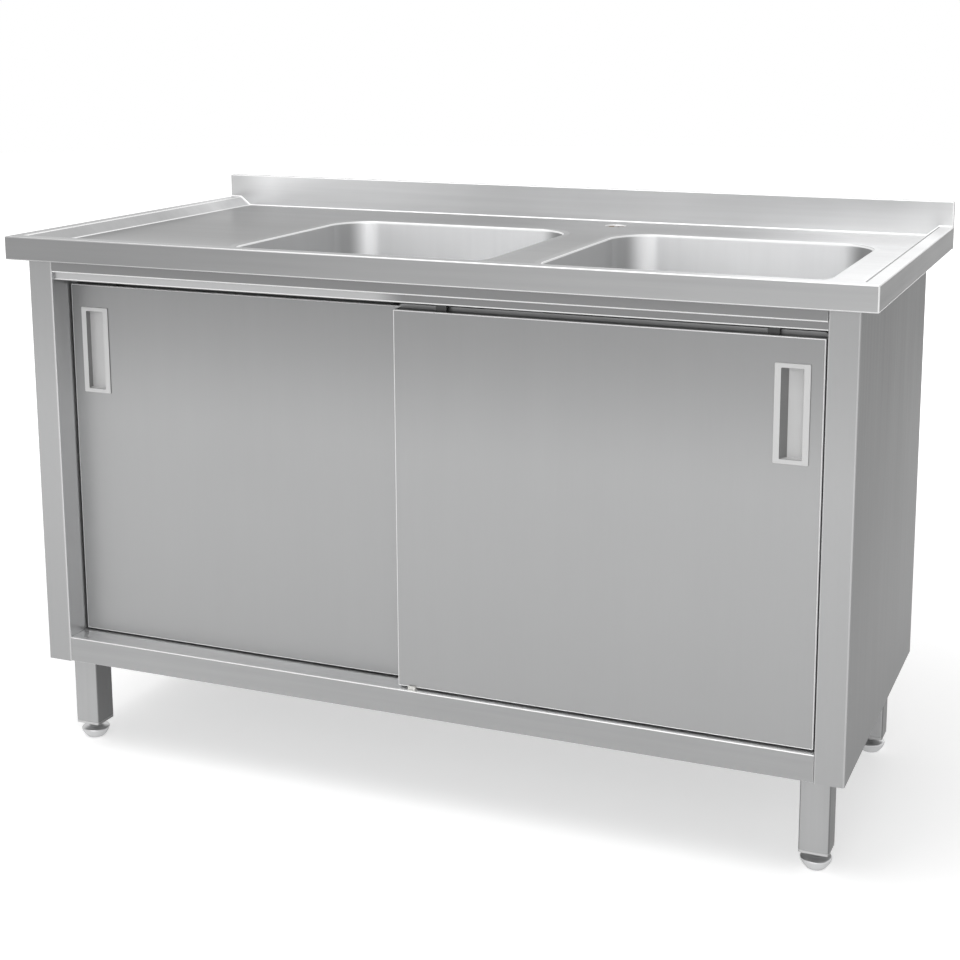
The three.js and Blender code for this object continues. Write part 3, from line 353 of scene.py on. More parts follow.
def boarding(name, pale, dark):
    """Plain board with a long wood grain, for the stiffeners under the worktop."""
    material, tree, shader = new_material(name)
    place = tree.nodes.new("ShaderNodeTexCoord").outputs["Object"]
    figure = noise(tree, place, (6, 90, 90), 4.0, 0.6)
    pores = noise(tree, place, (60, 1500, 1500), 2.0)
    ramp = tree.nodes.new("ShaderNodeMapRange")
    ramp.inputs["From Min"].default_value, ramp.inputs["From Max"].default_value = 0.3, 0.7
    tree.links.new(figure, ramp.inputs["Value"])
    colour = mixed(tree, "MIX", ramp.outputs[0], pale + (1,), dark + (1,))
    tree.links.new(colour, shader.inputs["Base Color"])
    tree.links.new(maths(tree, "ADD", centred(tree, pores, 0.2), 0.75), shader.inputs["Roughness"])
    relief = tree.nodes.new("ShaderNodeBump")
    relief.inputs["Strength"].default_value = 0.3
    relief.inputs["Distance"].default_value = 0.0003
    tree.links.new(pores, relief.inputs["Height"])
    tree.links.new(relief.outputs[0], shader.inputs["Normal"])
    return material


def blended(tree, share, a, b):
    """a where the share is 0 and b where it is 1."""
    mix = tree.nodes.new("ShaderNodeMix")
    for value, socket in zip((share, a, b), (mix.inputs[0], mix.inputs[2], mix.inputs[3])):
        feed(tree, value, socket)
    return mix.outputs[0]


def darker_sides(tree, level, amount):
    """The level, less that share of it on the faces that look left or right: painted shade on the sides.
    """
    loss = maths(tree, "MULTIPLY", sideways(tree), amount)
    return maths(tree, "MULTIPLY", level, maths(tree, "SUBTRACT", 1.0, loss))


# Each shading function gives a factor of painted light and shade on its steel's tone, from soft steps
# along the piece's own coordinates in metres, which stand for the reflections and shade of a studio.

def deck_shading(tree):
    """Painted light and shade: lighter to the right, at the front of the drainboard and behind the bowls.
    """
    x, y = placed(tree, "X"), placed(tree, "Y")
    on_drainboard = stepped(tree, x, 1.0, (-0.45, 0.05, -1.0))
    front_to_back = stepped(tree, y, 0.22, (-0.30, -0.12, -0.45), (0.0, 0.25, 0.28))
    past_drainboard = stepped(tree, x, 0.0, (-0.15, 0.15, 0.45))
    behind_bowls = stepped(tree, y, 0.0, (0.05, 0.30, 1.0))
    change = maths(tree, "ADD", maths(tree, "MULTIPLY", on_drainboard, front_to_back),
                   maths(tree, "MULTIPLY", past_drainboard, behind_bowls))
    left_to_right = stepped(tree, x, 1.03, (0.30, 0.62, 1.12))
    return maths(tree, "MULTIPLY", left_to_right, maths(tree, "ADD", change, 1.0))


def worktop_shading(tree):
    """Painted light and shade: rim lighter to the right and the back, upstand lightest near its left end,
    fascia darkest at the left and on the sides, and painted shade along the crease between the right
    slope and the rim."""
    x, y = placed(tree, "X"), placed(tree, "Y")
    rim = maths(tree, "MULTIPLY", stepped(tree, x, 1.25, (-0.7, -0.3, -0.1), (0.1, 0.65, 1.0)),
                stepped(tree, y, 1.0, (0.0, 0.30, 0.45)))
    upstand = stepped(tree, x, 1.3, (-0.69, -0.6, 0.78), (-0.4, -0.05, -0.38), (0.3, 0.6, -0.2))
    fascia = darker_sides(tree, stepped(tree, x, 0.62, (-0.7, 0.7, 0.30)), 0.72)
    level = deck_shading(tree)
    for name, own_level in (("rim", rim), ("upstand", upstand), ("fascia", fascia), ("crease", 0.35)):
        level = blended(tree, marked(tree, name), level, own_level)
    return level


def worktop_fold_highlights(tree):
    """Amount of the folds' painted highlights, which on the front edge is less to the left."""
    front = stepped(tree, placed(tree, "Y"), 1.0, (-0.3475, -0.345, -1.0))
    dimming = stepped(tree, placed(tree, "X"), -0.60, (-0.65, 0.1, 0.45))
    return maths(tree, "ADD", maths(tree, "MULTIPLY", front, dimming), FOLD_HIGHLIGHT_AMOUNT)


def door_shading(tree):
    """Darker under the worktop's overhang: painted shade."""
    return stepped(tree, placed(tree, "Z"), 0.98, (0.2, 0.42, 0.02), (0.55, 0.80, -0.30))


def panel_shading(tree):
    """Painted light and shade: lighter on the posts' inner faces than on their fronts, and darker
    upwards, most on the outer sides."""
    z = placed(tree, "Z")
    upwards = stepped(tree, z, 1.0, (0.55, 0.82, -0.18))
    outer = stepped(tree, maths(tree, "ABSOLUTE", placed(tree, "X")), 0.0, (0.655, 0.668, 1.0))
    loss = maths(tree, "MULTIPLY", outer, stepped(tree, z, 0.90, (0.20, 0.70, 0.42)))
    gain = maths(tree, "MULTIPLY", sideways(tree), maths(tree, "SUBTRACT", 0.9, loss))
    return maths(tree, "MULTIPLY", upwards, maths(tree, "ADD", gain, 1.0))


def shelf_shading(tree):
    """Painted light on the shelf's top, most of all on the ledge in front of the doors."""
    top = stepped(tree, placed(tree, "Z", "Normal"), 0.0, (0.6, 0.9, 1.0))
    ledge = stepped(tree, placed(tree, "Y"), 1.9, (-0.30, -0.26, -1.3))
    return maths(tree, "ADD", maths(tree, "MULTIPLY", top, ledge), 1.0)


def track_shading(tree):
    """Painted shade behind the front door at rest, so lighter to the left, where no door hangs in front.
    """
    return stepped(tree, placed(tree, "X"), 1.2, (-0.06, 0.0, -0.6))


def tube_shading(tree):
    """Painted light and shade: darker to the sides, and lighter towards the floor."""
    return darker_sides(tree, stepped(tree, placed(tree, "Z"), 1.05, (0.05, 0.15, -0.05)), 0.55)


def outside_of_bowl(tree):
    """1 on the sheet's outer side: where the normal points down, or away from the bowl's own axis."""
    x = placed(tree, "X")
    at_right = maths(tree, "GREATER_THAN", x, TAP_X * MM)
    shift = maths(tree, "MULTIPLY", at_right, (BOWLS["right"] - BOWLS["left"]) * MM)
    from_axis_x = maths(tree, "SUBTRACT", maths(tree, "SUBTRACT", x, BOWLS["left"] * MM), shift)
    from_axis_y = maths(tree, "SUBTRACT", placed(tree, "Y"), BOWL_Y * MM)
    away = maths(tree, "ADD", maths(tree, "MULTIPLY", from_axis_x, placed(tree, "X", "Normal")),
                 maths(tree, "MULTIPLY", from_axis_y, placed(tree, "Y", "Normal")))
    down = stepped(tree, placed(tree, "Z", "Normal"), 1.0, (-0.6, -0.2, -1.0))
    return maths(tree, "MAXIMUM", stepped(tree, away, 0.0, (0.0, 0.02, 1.0)), down)


def bowl_shading(tree):
    """Painted light and shade: a painted highlight where the back left corner turns, painted shade on the
    left wall, in the back right corner and on the sheet's outer side. The lip's flat is one with the
    deck, whose painted level it takes."""
    across = placed(tree, "X", "Normal")
    along = maths(tree, "ABSOLUTE", placed(tree, "Y", "Normal"))
    never_zero = maths(tree, "ADD", along, 0.02)
    reach = maths(tree, "ADD", maths(tree, "ABSOLUTE", across), never_zero)
    turn = maths(tree, "DIVIDE", across, reach)
    wall = stepped(tree, turn, 0.85, (-0.92, -0.65, -0.40), (-0.45, -0.12, 0.75), (0.02, 0.18, 0.10),
                   (0.30, 0.58, -0.75), (0.65, 0.9, 0.08))
    level = blended(tree, outside_of_bowl(tree), wall, 0.42)
    flush = maths(tree, "MULTIPLY", stepped(tree, placed(tree, "Z", "Normal"), 0.0, (0.80, 0.95, 1.0)),
                  maths(tree, "GREATER_THAN", placed(tree, "Z"), (DECK - 3) * MM))
    deck_level = maths(tree, "MULTIPLY", deck_shading(tree), DECK_TONE / BOWL_TONE)
    return blended(tree, flush, level, deck_level)


WORKTOP = steel("brushed worktop steel", DECK_TONE, 0.34, streaks=0.16, clouds=0.16,
                fold_highlight=worktop_fold_highlights, shading=worktop_shading)
BOWL = steel("pressed bowl steel", BOWL_TONE, 0.38, along="Z", grain=0.03, streaks=0.05, clouds=0.14,
             metallic=0.5, shading=bowl_shading)
PANEL = steel("brushed sheet steel", 0.36, 0.36, along="Z", streaks=0.05, fold_highlight=0.15, edge=0.5,
              shading=panel_shading)
RAIL = steel("brushed rail steel", 0.34, 0.34, along="X", streaks=0.16, clouds=0.16)
SHELF = steel("brushed shelf steel", 0.34, 0.34, along="X", streaks=0.16, clouds=0.16,
              shading=shelf_shading)
APRON = steel("shaded rail steel", 0.20, 0.36, along="X", streaks=0.12)
TRACK = steel("rolled track steel", 0.32, 0.34, along="X", streaks=0.10, shading=track_shading)
DOOR = steel("brushed door steel", 0.355, 0.40, along="Z", streaks=0.02, clouds=0.03,
             shading=door_shading)
# The doors' backs show only in the narrow gaps, and their darker tone is painted shade.
DARK_BACK = steel("door back steel in painted shade", 0.26, 0.40, along="Z", streaks=0.03, clouds=0.04)
LEG = steel("brushed tube steel", 0.38, 0.35, along="Z", streaks=0.14, shading=tube_shading)
POLISHED = steel("bright turned steel", 0.60, 0.30, along="X", grain=0.02, streaks=0.02, bump=0.02,
                 metallic=1.0)
ZINC = steel("zinc plated sheet", 0.24, 0.42, along="X", streaks=0.05, clouds=0.25, fold_highlight=0.2)
# The running gear and the doors' channels are painted near black: painted shade in the gaps above the
# doors.
GEAR = steel("running gear in painted shade", 0.08, 0.5, along="X", streaks=0.05, clouds=0.25,
             fold_highlight=0.1)
CUP = moulded("light grey moulding", (0.74, 0.74, 0.74), 0.42, coat=0.1, side_shade=0.62)
NYLON = moulded("off-white nylon", (0.78, 0.77, 0.74), 0.5)
DARK = moulded("dark moulding", (0.05, 0.05, 0.055), 0.5)
RUBBER = moulded("matt black rubber", (0.05, 0.05, 0.05), 0.8, texture=0.4)
BOARD = boarding("pale board", (0.56, 0.47, 0.34), (0.44, 0.34, 0.23))


# ---- Mesh helpers --------------------------------------------------------------------------------

def finish(name, bm, body, material, node, wall=0.0, angle=40):
    """Makes the mesh the piece that replaces that node, with an optional sheet wall behind its faces."""
    bmesh.ops.scale(bm, vec=(MM,) * 3, verts=bm.verts)
    mesh = bpy.data.meshes.new(name)
    bm.to_mesh(mesh)
    bm.free()
    mesh.shade_smooth()
    mesh.set_sharp_from_angle(angle=math.radians(angle))
    piece = bpy.data.objects.new(name, mesh)
    bpy.context.collection.objects.link(piece)
    mesh.materials.append(material)
    if wall:
        sheet = piece.modifiers.new("sheet", "SOLIDIFY")
        sheet.thickness, sheet.offset = wall * MM, -1
        sheet.use_even_offset = True
    normals = piece.modifiers.new("normals", "WEIGHTED_NORMAL")
    normals.keep_sharp = True
    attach(piece, body)
    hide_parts(node)


def middle(face):
    return face.calc_center_median()


def mark(bm, name, chosen, value=1.0):
    """Gives the faces that chosen() picks that value under that name, for the shaders."""
    layer = bm.faces.layers.float.get(name) or bm.faces.layers.float.new(name)
    for face in bm.faces:
        if chosen(face):
            face[layer] = value


def round_edges(bm, edges, width, segments=3, folds=True, clamp=True):
    """Rounds those edges, and marks the new faces as folds for the painted highlight unless told not to.
    """
    if not edges:
        return
    layer = bm.faces.layers.float.get("fold") or bm.faces.layers.float.new("fold")
    made = bmesh.ops.bevel(bm, geom=edges, offset=width, offset_type="OFFSET", affect="EDGES",
                           segments=segments, profile=0.5, material=-1, clamp_overlap=clamp)
    if folds:
        for face in made["faces"]:
            face[layer] = 1.0


def creases(bm, angle=25):
    """Edges where two faces meet at more than that angle."""
    bm.normal_update()
    limit = math.radians(angle)
    return [e for e in bm.edges if len(e.link_faces) == 2 and e.calc_face_angle(0) > limit]


def softened(node, body, material, width=0.25, angle=40, segments=2, name=None, wide=None):
    """A copy of a CAD node with its triangles joined and its edges rounded. Those that wide() picks
    are rounded most."""
    bm = bmesh.new()
    bm.from_mesh(nodes[node].data)
    bmesh.ops.remove_doubles(bm, verts=bm.verts, dist=1e-5)
    bmesh.ops.dissolve_limit(bm, angle_limit=math.radians(1), verts=bm.verts, edges=bm.edges)
    bmesh.ops.scale(bm, vec=(1 / MM,) * 3, verts=bm.verts)
    if wide:
        round_edges(bm, [e for e in creases(bm, angle) if wide(e)], WIDE_FOLD, FOLD_STEPS)
    round_edges(bm, creases(bm, angle), width, segments)
    bm.normal_update()
    # A face square to no axis belongs to a fold or a rounded edge, and takes the painted highlight.
    mark(bm, "fold", lambda f: max(abs(c) for c in f.normal) < 0.97)
    finish(name or node + "_sheet", bm, body, material, node, angle=35)


def rounded_outline(bm, half, radius, x, y, z, steps):
    """Edges of a level square with rounded corners."""
    before = set(bm.faces)
    verts = bmesh.ops.create_grid(bm, x_segments=1, y_segments=1, size=1)["verts"]
    bmesh.ops.scale(bm, vec=(half, half, 1), verts=verts)
    bmesh.ops.translate(bm, vec=(x, y, z), verts=verts)
    bmesh.ops.bevel(bm, geom=verts, offset=radius, segments=steps, affect="VERTICES", profile=0.5,
                    material=-1)
    face = [f for f in bm.faces if f not in before][0]
    edges = list(face.edges)
    bmesh.ops.delete(bm, geom=[face], context="FACES_ONLY")
    return edges


def once(items):
    """The items in their order, each only once. A set's order would change from run to run."""
    return list(dict.fromkeys(items))


def circle_outline(bm, radius, x, y, z, steps=32):
    """Edges of a level circle."""
    made = bmesh.ops.create_circle(bm, cap_ends=False, radius=radius, segments=steps)
    bmesh.ops.translate(bm, vec=(x, y, z), verts=made["verts"])
    return once(e for v in made["verts"] for e in v.link_edges)


def pulled(bm, edges, move):
    """Extrudes a run of edges, and moves each new point by move(point)."""
    made = bmesh.ops.extrude_edge_only(bm, edges=edges)["geom"]
    for vert in made:
        if isinstance(vert, bmesh.types.BMVert):
            vert.co += Vector(move(vert.co))
    return [e for e in made if isinstance(e, bmesh.types.BMEdge)]


def spun(profile, x, y, steps=48):
    """A surface turned about the upright axis through (x, y), from (radius, height) points."""
    bm = bmesh.new()
    verts = [bm.verts.new((r, 0, z)) for r, z in profile]
    edges = [bm.edges.new(pair) for pair in zip(verts, verts[1:])]
    bmesh.ops.spin(bm, geom=verts + edges, cent=(0, 0, 0), axis=(0, 0, 1), dvec=(0, 0, 0),
                   angle=2 * math.pi, steps=steps, use_merge=True)
    bmesh.ops.remove_doubles(bm, verts=bm.verts, dist=1e-4)
    bmesh.ops.recalc_face_normals(bm, faces=bm.faces)
    bmesh.ops.translate(bm, vec=(x, y, 0), verts=bm.verts)
    return bm


def face_up(bm, probe):
    """Turns an open surface so that the faces whose middles probe() picks look up."""
    bmesh.ops.recalc_face_normals(bm, faces=bm.faces)
    bm.normal_update()
    if sum(f.normal.z * f.calc_area() for f in bm.faces if probe(middle(f))) < 0:
        bmesh.ops.reverse_faces(bm, faces=bm.faces)
    bm.normal_update()


# ---- Worktop -------------------------------------------------------------------------------------

def make_deck(bm):
    """Level sheet with its bowl and tap openings and the tap hole's collar; gives its outer edges."""
    inner_x, inner_y = RIGHT - RIM_FLAT - SLOPE_RUN, FRONT + RIM_FLAT + SLOPE_RUN
    verts = bmesh.ops.create_grid(bm, x_segments=1, y_segments=1, size=1)["verts"]
    bmesh.ops.scale(bm, vec=(inner_x, (UPSTAND_FACE - inner_y) / 2, 1), verts=verts)
    bmesh.ops.translate(bm, vec=(0, (UPSTAND_FACE + inner_y) / 2, DECK), verts=verts)
    deck = list(bm.faces)[0]
    outline = list(deck.edges)
    bmesh.ops.inset_region(bm, faces=[deck], thickness=DECK_BAND, use_even_offset=True)
    inside = list(deck.edges)
    bmesh.ops.delete(bm, geom=[deck], context="FACES_ONLY")
    for x in BOWLS.values():
        inside += rounded_outline(bm, BOWL_HALF, BOWL_CORNER, x, BOWL_Y, DECK, OPENING_STEPS)
    tap_edge = circle_outline(bm, TAP_RADIUS, TAP_X, TAP_Y, DECK)
    bmesh.ops.triangle_fill(bm, use_beauty=True, edges=inside + tap_edge)
    pulled(bm, tap_edge, lambda p: (0, 0, -TAP_COLLAR))
    return outline


def at_back(edge):
    return all(v.co.y > UPSTAND_FACE - 1 for v in edge.verts)


def mitred(out, up):
    """A move outwards from the sides and the front that a point lies on, and up."""
    return lambda p: (out * math.copysign(1, p.x), -out if p.y < UPSTAND_FACE - 1 else 0, up)


def fold_upstand(bm):
    """Upstand from the rear edges of deck, slope and rim: up, back, down and in under itself."""
    ends = [e for e in bm.edges
            if e.is_boundary and at_back(e) and min(v.co.z for v in e.verts) > DECK - 1]
    rise = pulled(bm, ends, lambda p: (0, 0, UPSTAND_TOP - p.z))
    top = [e for e in rise if all(v.co.z > UPSTAND_TOP - 1 for v in e.verts)]
    back = pulled(bm, top, lambda p: (0, BACK - UPSTAND_FACE, 0))
    back = [e for e in back if all(v.co.y > BACK - 1 for v in e.verts)]
    foot = pulled(bm, back, lambda p: (0, 0, FASCIA_FOOT - UPSTAND_TOP))
    foot = [e for e in foot if all(v.co.z < FASCIA_FOOT + 1 for v in e.verts)]
    pulled(bm, foot, lambda p: (0, -UPSTAND_RETURN, 0))
    for end_x in (LEFT, RIGHT):
        # One face closes the end, through all of its points but the lower return's inner one.
        end = [v for v in bm.verts if abs(v.co.x - end_x) < 0.01 and v.co.y > UPSTAND_FACE - 0.5
               and not (abs(v.co.z - FASCIA_FOOT) < 0.01 and UPSTAND_FACE + 1 < v.co.y < BACK - 1)]
        bmesh.ops.contextual_create(bm, geom=end)


def on_crease(face):
    """Fold between the right slope and the rim."""
    x, y, z = middle(face)
    beside_rim = abs(x - RIGHT + RIM_FLAT) < FOLD_RADIUS and z > DECK + 2 and y < UPSTAND_FACE - 3
    return beside_rim and abs(face.normal.y) < 0.1


def in_tap_hole(face):
    return (middle(face).xy - Vector((TAP_X, TAP_Y))).length < TAP_RADIUS + FOLD_RADIUS


def make_worktop():
    """Deck, slope, rim, fascia and upstand, folded from one surface."""
    bm = bmesh.new()
    run = [e for e in make_deck(bm) if not at_back(e)]
    for out, up in ((SLOPE_RUN, RIM - DECK), (RIM_FLAT, 0), (0, FASCIA_FOOT - RIM), (-FASCIA_RETURN, 0)):
        run = pulled(bm, run, mitred(out, up))
    fold_upstand(bm)
    face_up(bm, lambda c: abs(c.z - DECK) < 0.1)
    # These regions take their own painted light and shade in the worktop's steel.
    mark(bm, "rim", lambda f: middle(f).z > DECK + 1)
    mark(bm, "upstand", lambda f: middle(f).y > UPSTAND_FACE - 0.1 and f.normal.y < -0.5)
    mark(bm, "fascia", lambda f: middle(f).z < RIM - 1 and abs(f.normal.z) < 0.1)
    mark(bm, "fascia", lambda f: middle(f).y > UPSTAND_FACE + 0.1)
    round_edges(bm, creases(bm, 20), FOLD_RADIUS, FOLD_STEPS, clamp=False)
    bm.normal_update()
    # The crease beside the right rim takes painted shade in place of the painted highlight.
    mark(bm, "crease", on_crease)
    mark(bm, "fold", on_crease, 0.0)
    # The tap hole's collar takes the painted highlight.
    mark(bm, "fold", in_tap_hole)
    finish("worktop_sheet", bm, "root", WORKTOP, "worktop", wall=TOP_SHEET)


# ---- Bowls and wastes ----------------------------------------------------------------------------

def level_at(edge, z):
    return all(abs(v.co.z - z) < 0.01 for v in edge.verts)


def lip_move(top_loop, x):
    """A move outwards by the lip's width, square to the opening's edge."""
    def place(point):
        return tuple(round(c, 3) for c in point)

    outward = {place(v.co): v.normal.copy() for e in top_loop for v in e.verts}

    def away(point):
        normal = outward[place(point)]
        flat_normal = Vector((normal.x, normal.y, 0)).normalized()
        if flat_normal.dot(point - Vector((x, BOWL_Y, point.z))) < 0:
            flat_normal.negate()
        return flat_normal * BOWL_LIP

    return away


def make_bowl(side, x):
    """Pressed bowl: a drafted box with rounded corners and foot, a rolled lip and a sunk waste seat."""
    wall = BOWL_HALF - BOWL_LIP
    drafted = 1 - BOWL_DRAFT / wall
    bm = bmesh.new()
    verts = bmesh.ops.create_cube(bm, size=1)["verts"]
    bmesh.ops.scale(bm, vec=(2 * wall, 2 * wall, DECK - BOWL_FLOOR), verts=verts)
    bmesh.ops.scale(bm, vec=(drafted, drafted, 1), verts=[v for v in bm.verts if v.co.z < 0])
    bmesh.ops.translate(bm, vec=(x, BOWL_Y, (DECK + BOWL_FLOOR) / 2), verts=bm.verts)
    upright = [e for e in bm.edges if abs(e.verts[0].co.z - e.verts[1].co.z) > 1]
    round_edges(bm, upright, BOWL_CORNER - BOWL_LIP, BOWL_CORNER_STEPS, folds=False)
    foot = [e for e in bm.edges if level_at(e, BOWL_FLOOR)]
    round_edges(bm, foot, BOWL_FOOT_RADIUS, BOWL_FOOT_STEPS, folds=False)
    flat = [f for f in bm.faces if abs(f.normal.z) > 0.999 and len(f.verts) > 8]
    top = max(flat, key=lambda f: middle(f).z)
    floor = min(flat, key=lambda f: middle(f).z)
    top_loop, floor_loop = list(top.edges), list(floor.edges)
    bmesh.ops.delete(bm, geom=[top, floor], context="FACES_ONLY")
    bm.normal_update()
    pulled(bm, top_loop, lip_move(top_loop, x))
    seat = circle_outline(bm, SEAT_EDGE, x, BOWL_Y, BOWL_FLOOR - SEAT_DIP, len(floor_loop))
    bmesh.ops.bridge_loops(bm, edges=floor_loop + seat)
    for radius, drop in ((SEAT_RADIUS, SEAT_STEP), (WASTE_HOLE, 0)):
        start = seat[0].verts[0].co
        growth = radius / (start - Vector((x, BOWL_Y, start.z))).length - 1
        seat = pulled(bm, seat, lambda p: (p - Vector((x, BOWL_Y, p.z))) * growth - Vector((0, 0, drop)))
    face_up(bm, lambda c: c.z < BOWL_FLOOR + 2)
    lip = [e for e in creases(bm, 60) if level_at(e, DECK)]
    round_edges(bm, lip, LIP_RADIUS, LIP_STEPS, folds=False)
    bm.normal_update()
    # The lip's rounding takes the painted highlight.
    mark(bm, "fold", lambda f: middle(f).z > DECK - LIP_RADIUS and 0.3 < f.normal.z < 0.85)
    finish(f"bowl_{side}_pressing", bm, "root", BOWL, f"bowl_{side}", wall=SHEET, angle=50)


def make_waste_flange(side, x):
    """Turned flange in the bowl's seat, with a pierced strainer plate across its bore."""
    profile = [(radius, WASTE_SEAT + height) for radius, height in WASTE_PROFILE]
    bm = spun(profile, x, BOWL_Y, WASTE_STEPS)
    strainer = WASTE_SEAT + FLANGE_TOP - STRAINER_DEPTH
    loops = circle_outline(bm, WASTE_BORE, x, BOWL_Y, strainer, WASTE_STEPS)
    for radius, count in STRAINER_RINGS:
        for k in range(count):
            angle = 2 * math.pi * k / count
            hole_x, hole_y = x + radius * math.cos(angle), BOWL_Y + radius * math.sin(angle)
            loops += circle_outline(bm, STRAINER_HOLE, hole_x, hole_y, strainer, STRAINER_STEPS)
    made = bmesh.ops.triangle_fill(bm, use_beauty=True, edges=loops)
    plate = [f for f in made["geom"] if isinstance(f, bmesh.types.BMFace)]
    for face in plate:
        face.normal_update()
        if face.normal.z < 0:
            face.normal_flip()
    bmesh.ops.solidify(bm, geom=plate, thickness=STRAINER_SHEET)
    finish(f"waste_flange_{side}_turned", bm, "root", POLISHED, f"waste_flange_{side}")


make_worktop()
for side, x in BOWLS.items():
    make_bowl(side, x)
    make_waste_flange(side, x)
    for node in (f"waste_nut_{side}", f"waste_body_{side}"):
        softened(node, "root", DARK, 0.6, 30, name=node + "_moulding")


# ---- Cupboard ------------------------------------------------------------------------------------

shelf_low, shelf_high = (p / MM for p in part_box("bottom_shelf"))


def on_shelf_front(edge):
    """Fold between the shelf's top and the rail under the doors."""
    return all(v.co.y < shelf_low.y + 0.5 and v.co.z > shelf_high.z - 30 for v in edge.verts)


for side in SIDES:
    softened(f"side_panel_{side}", "root", PANEL)
    softened(f"door_buffer_{side}", "root", RUBBER, 0.5)
softened("bottom_shelf", "root", SHELF, wide=on_shelf_front)
for node in ("rear_top_rail", "back_panel"):
    softened(node, "root", RAIL)
softened("front_top_rail", "root", APRON)
for node in ("front_track", "rear_track"):
    softened(node, "root", TRACK)
for node in ("shelf_stiffener", "cross_brace_left", "cross_brace_middle"):
    softened(node, "root", ZINC)
for node in ("drainboard_board", "rear_board", "front_batten"):
    softened(node, "root", BOARD, 0.6)
softened("centre_guide", "root", NYLON, 0.4)


# ---- Legs and feet -------------------------------------------------------------------------------

def make_leg(corner):
    """Square tube with its plate and its plug, and the turned foot that screws into it."""
    low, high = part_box(f"leg_{corner}")
    x, y = (low.x + high.x) / 2 / MM, (low.y + high.y) / 2 / MM
    bottom, top = low.z / MM, high.z / MM
    bm = bmesh.new()
    outer = rounded_outline(bm, LEG_HALF, LEG_CORNER, x, y, bottom, TUBE_STEPS)
    inner = rounded_outline(bm, LEG_HALF - LEG_WALL, LEG_CORNER - LEG_WALL, x, y, bottom, TUBE_STEPS)
    made = bmesh.ops.bridge_loops(bm, edges=outer + inner)
    raised = bmesh.ops.extrude_face_region(bm, geom=made["faces"])["geom"]
    bmesh.ops.translate(bm, vec=(0, 0, top - bottom),
                        verts=[v for v in raised if isinstance(v, bmesh.types.BMVert)])
    bmesh.ops.recalc_face_normals(bm, faces=bm.faces)
    finish(f"leg_{corner}_tube", bm, "root", LEG, f"leg_{corner}")
    softened(f"leg_plate_{corner}", "root", ZINC, 0.4)
    softened(f"foot_insert_{corner}", "root", CUP, 0.7, 30, 3,
             name=f"foot_insert_{corner}_plug")
    foot = f"foot_{corner}"
    finish(foot + "_turned", spun(FOOT_PROFILE, x, y), foot, POLISHED, foot, angle=50)


for corner in CORNERS:
    make_leg(corner)


# ---- Doors ---------------------------------------------------------------------------------------

def make_door_skin(door):
    """Folded pan: a face with the opening for its cup, and four sides turned back."""
    low, high = (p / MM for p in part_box(f"{door}_skin"))
    cup_low, cup_high = (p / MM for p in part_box(f"{door}_handle"))
    bm = bmesh.new()
    verts = bmesh.ops.create_cube(bm, size=1)["verts"]
    bmesh.ops.scale(bm, vec=high - low, verts=verts)
    bmesh.ops.translate(bm, vec=(low + high) / 2, verts=verts)
    bm.normal_update()
    bmesh.ops.delete(bm, geom=[f for f in bm.faces if f.normal.y > 0.9], context="FACES_ONLY")
    round_edges(bm, creases(bm), DOOR_FOLD, FOLD_STEPS)
    across, up = (1, 0, 0), (0, 0, 1)
    for value, normal in ((cup_low.x + CUP_INSET, across), (cup_high.x - CUP_INSET, across),
                          (cup_low.z + CUP_INSET, up), (cup_high.z - CUP_INSET, up)):
        bm.normal_update()
        face = [f for f in bm.faces if f.normal.y < -0.999]
        geom = face + once(e for f in face for e in f.edges) + once(v for f in face for v in f.verts)
        bmesh.ops.bisect_plane(bm, geom=geom, plane_co=Vector(normal) * value, plane_no=normal)
    hole = [f for f in bm.faces if f.normal.y < -0.999
            and cup_low.x < middle(f).x < cup_high.x and cup_low.z < middle(f).z < cup_high.z]
    bmesh.ops.delete(bm, geom=hole, context="FACES")
    finish(f"{door}_skin_sheet", bm, door, DOOR, f"{door}_skin", wall=SHEET)


for door in DOORS:
    make_door_skin(door)
    softened(f"{door}_back", door, DARK_BACK)
    softened(f"{door}_channel", door, GEAR)
    softened(f"{door}_handle", door, CUP, 0.5, 35, 3, name=f"{door}_handle_cup")
    for side in SIDES:
        softened(f"{door}_hanger_{side}", door, GEAR, 0.3)
        softened(f"{door}_roller_{side}", f"{door}_roller_{side}", NYLON, 0.5, 35,
                 name=f"{door}_roller_{side}_wheels")


# ---- Studio --------------------------------------------------------------------------------------

# How bright the white surroundings are for the object's own light, and how much of its white the floor
# gives off under the unit.
AMBIENT, FLOOR_LIFT = 0.55, 0.45


def seen(tree):
    """1 for the rays that see the background: the camera's, reflections and light through glass."""
    path = tree.nodes.new("ShaderNodeLightPath")
    some = maths(tree, "MAXIMUM", path.outputs["Is Camera Ray"], path.outputs["Is Glossy Ray"])
    return maths(tree, "MAXIMUM", some, path.outputs["Is Transmission Ray"])


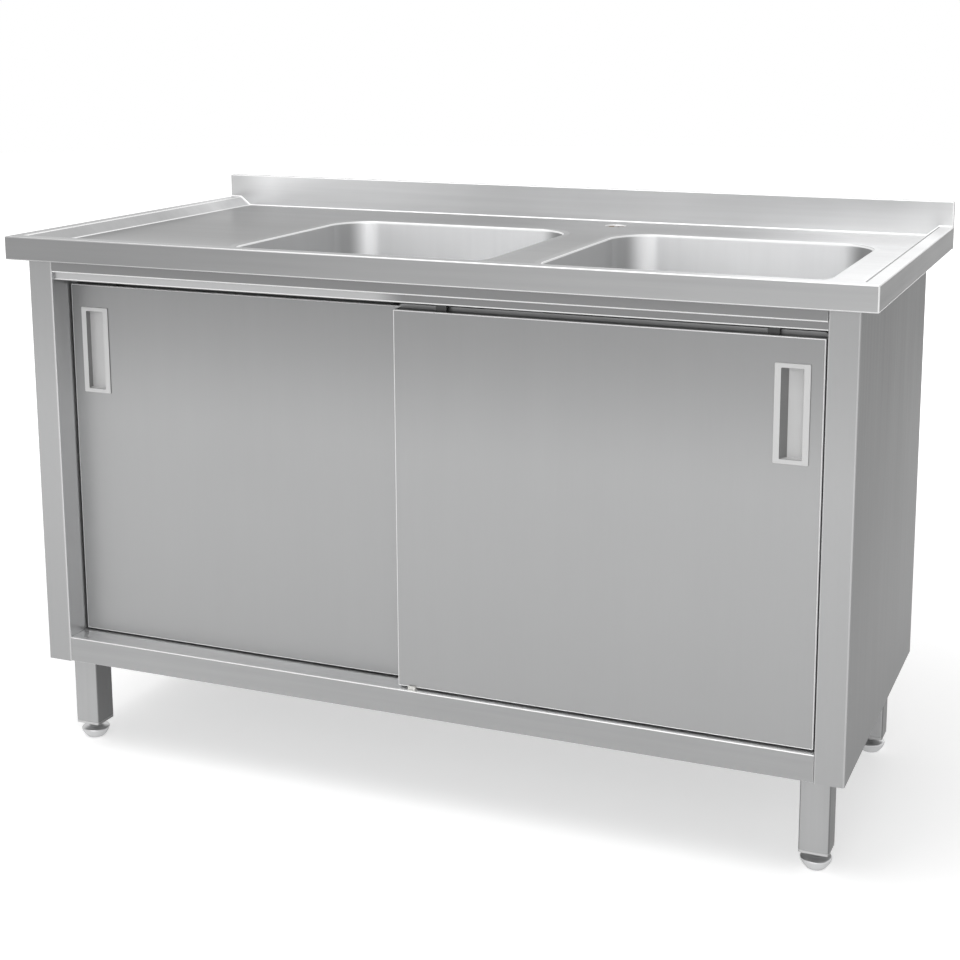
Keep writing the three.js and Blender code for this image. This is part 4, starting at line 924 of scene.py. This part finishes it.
def make_world():
    world = bpy.data.worlds.new("studio")
    world.use_nodes = True
    tree = world.node_tree
    shader = tree.nodes["Background"]
    shader.inputs["Color"].default_value = (1, 1, 1, 1)
    strength = maths(tree, "ADD", maths(tree, "MULTIPLY", seen(tree), 1 - AMBIENT), AMBIENT)
    tree.links.new(strength, shader.inputs["Strength"])
    bpy.context.scene.world = world


def make_floor():
    """A plain pale floor that the camera sees as white, with the unit's shadow on it."""
    bm = bmesh.new()
    bmesh.ops.create_circle(bm, cap_ends=True, radius=14, segments=96)
    mesh = bpy.data.meshes.new("studio_floor")
    bm.to_mesh(mesh)
    bm.free()
    material, tree, shader = new_material("studio floor")
    shader.inputs["Base Color"].default_value = (0.86, 0.86, 0.86, 1)
    shader.inputs["Roughness"].default_value = 0.9
    shader.inputs["Specular IOR Level"].default_value = 0.0
    shader.inputs["Emission Color"].default_value = (1, 1, 1, 1)
    place = tree.nodes.new("ShaderNodeVectorMath")
    place.operation = "LENGTH"
    tree.links.new(tree.nodes.new("ShaderNodeTexCoord").outputs["Object"], place.inputs[0])
    lift = stepped(tree, place.outputs["Value"], FLOOR_LIFT, (1.0, 3.5, 1 - FLOOR_LIFT))
    tree.links.new(maths(tree, "MULTIPLY", seen(tree), lift), shader.inputs["Emission Strength"])
    mesh.materials.append(material)
    floor = bpy.data.objects.new("studio_floor", mesh)
    bpy.context.collection.objects.link(floor)


def softbox(name, place, target, size, power):
    """A rectangular lamp of that size in metres and power in watts, which the camera doesn't see."""
    data = bpy.data.lights.new(name, "AREA")
    data.shape = "RECTANGLE"
    data.size, data.size_y = size
    data.energy = power
    lamp = bpy.data.objects.new(name, data)
    lamp.location = place
    lamp.rotation_euler = (Vector(target) - Vector(place)).to_track_quat("-Z", "Y").to_euler()
    lamp.visible_camera = False
    bpy.context.collection.objects.link(lamp)


make_world()
make_floor()
softbox("overhead", (-0.6, -0.8, 3.4), (0, 0, 0.5), (2.6, 2.0), 46)
softbox("back_right", (0.35, 3.0, 1.55), (0.4, 0.0, 0.85), (1.5, 1.3), 4)
softbox("front", (0.8, -3.4, 1.9), (0, 0, 0.5), (2.0, 1.6), 16)

bpy.context.scene.view_settings.view_transform = "Standard"
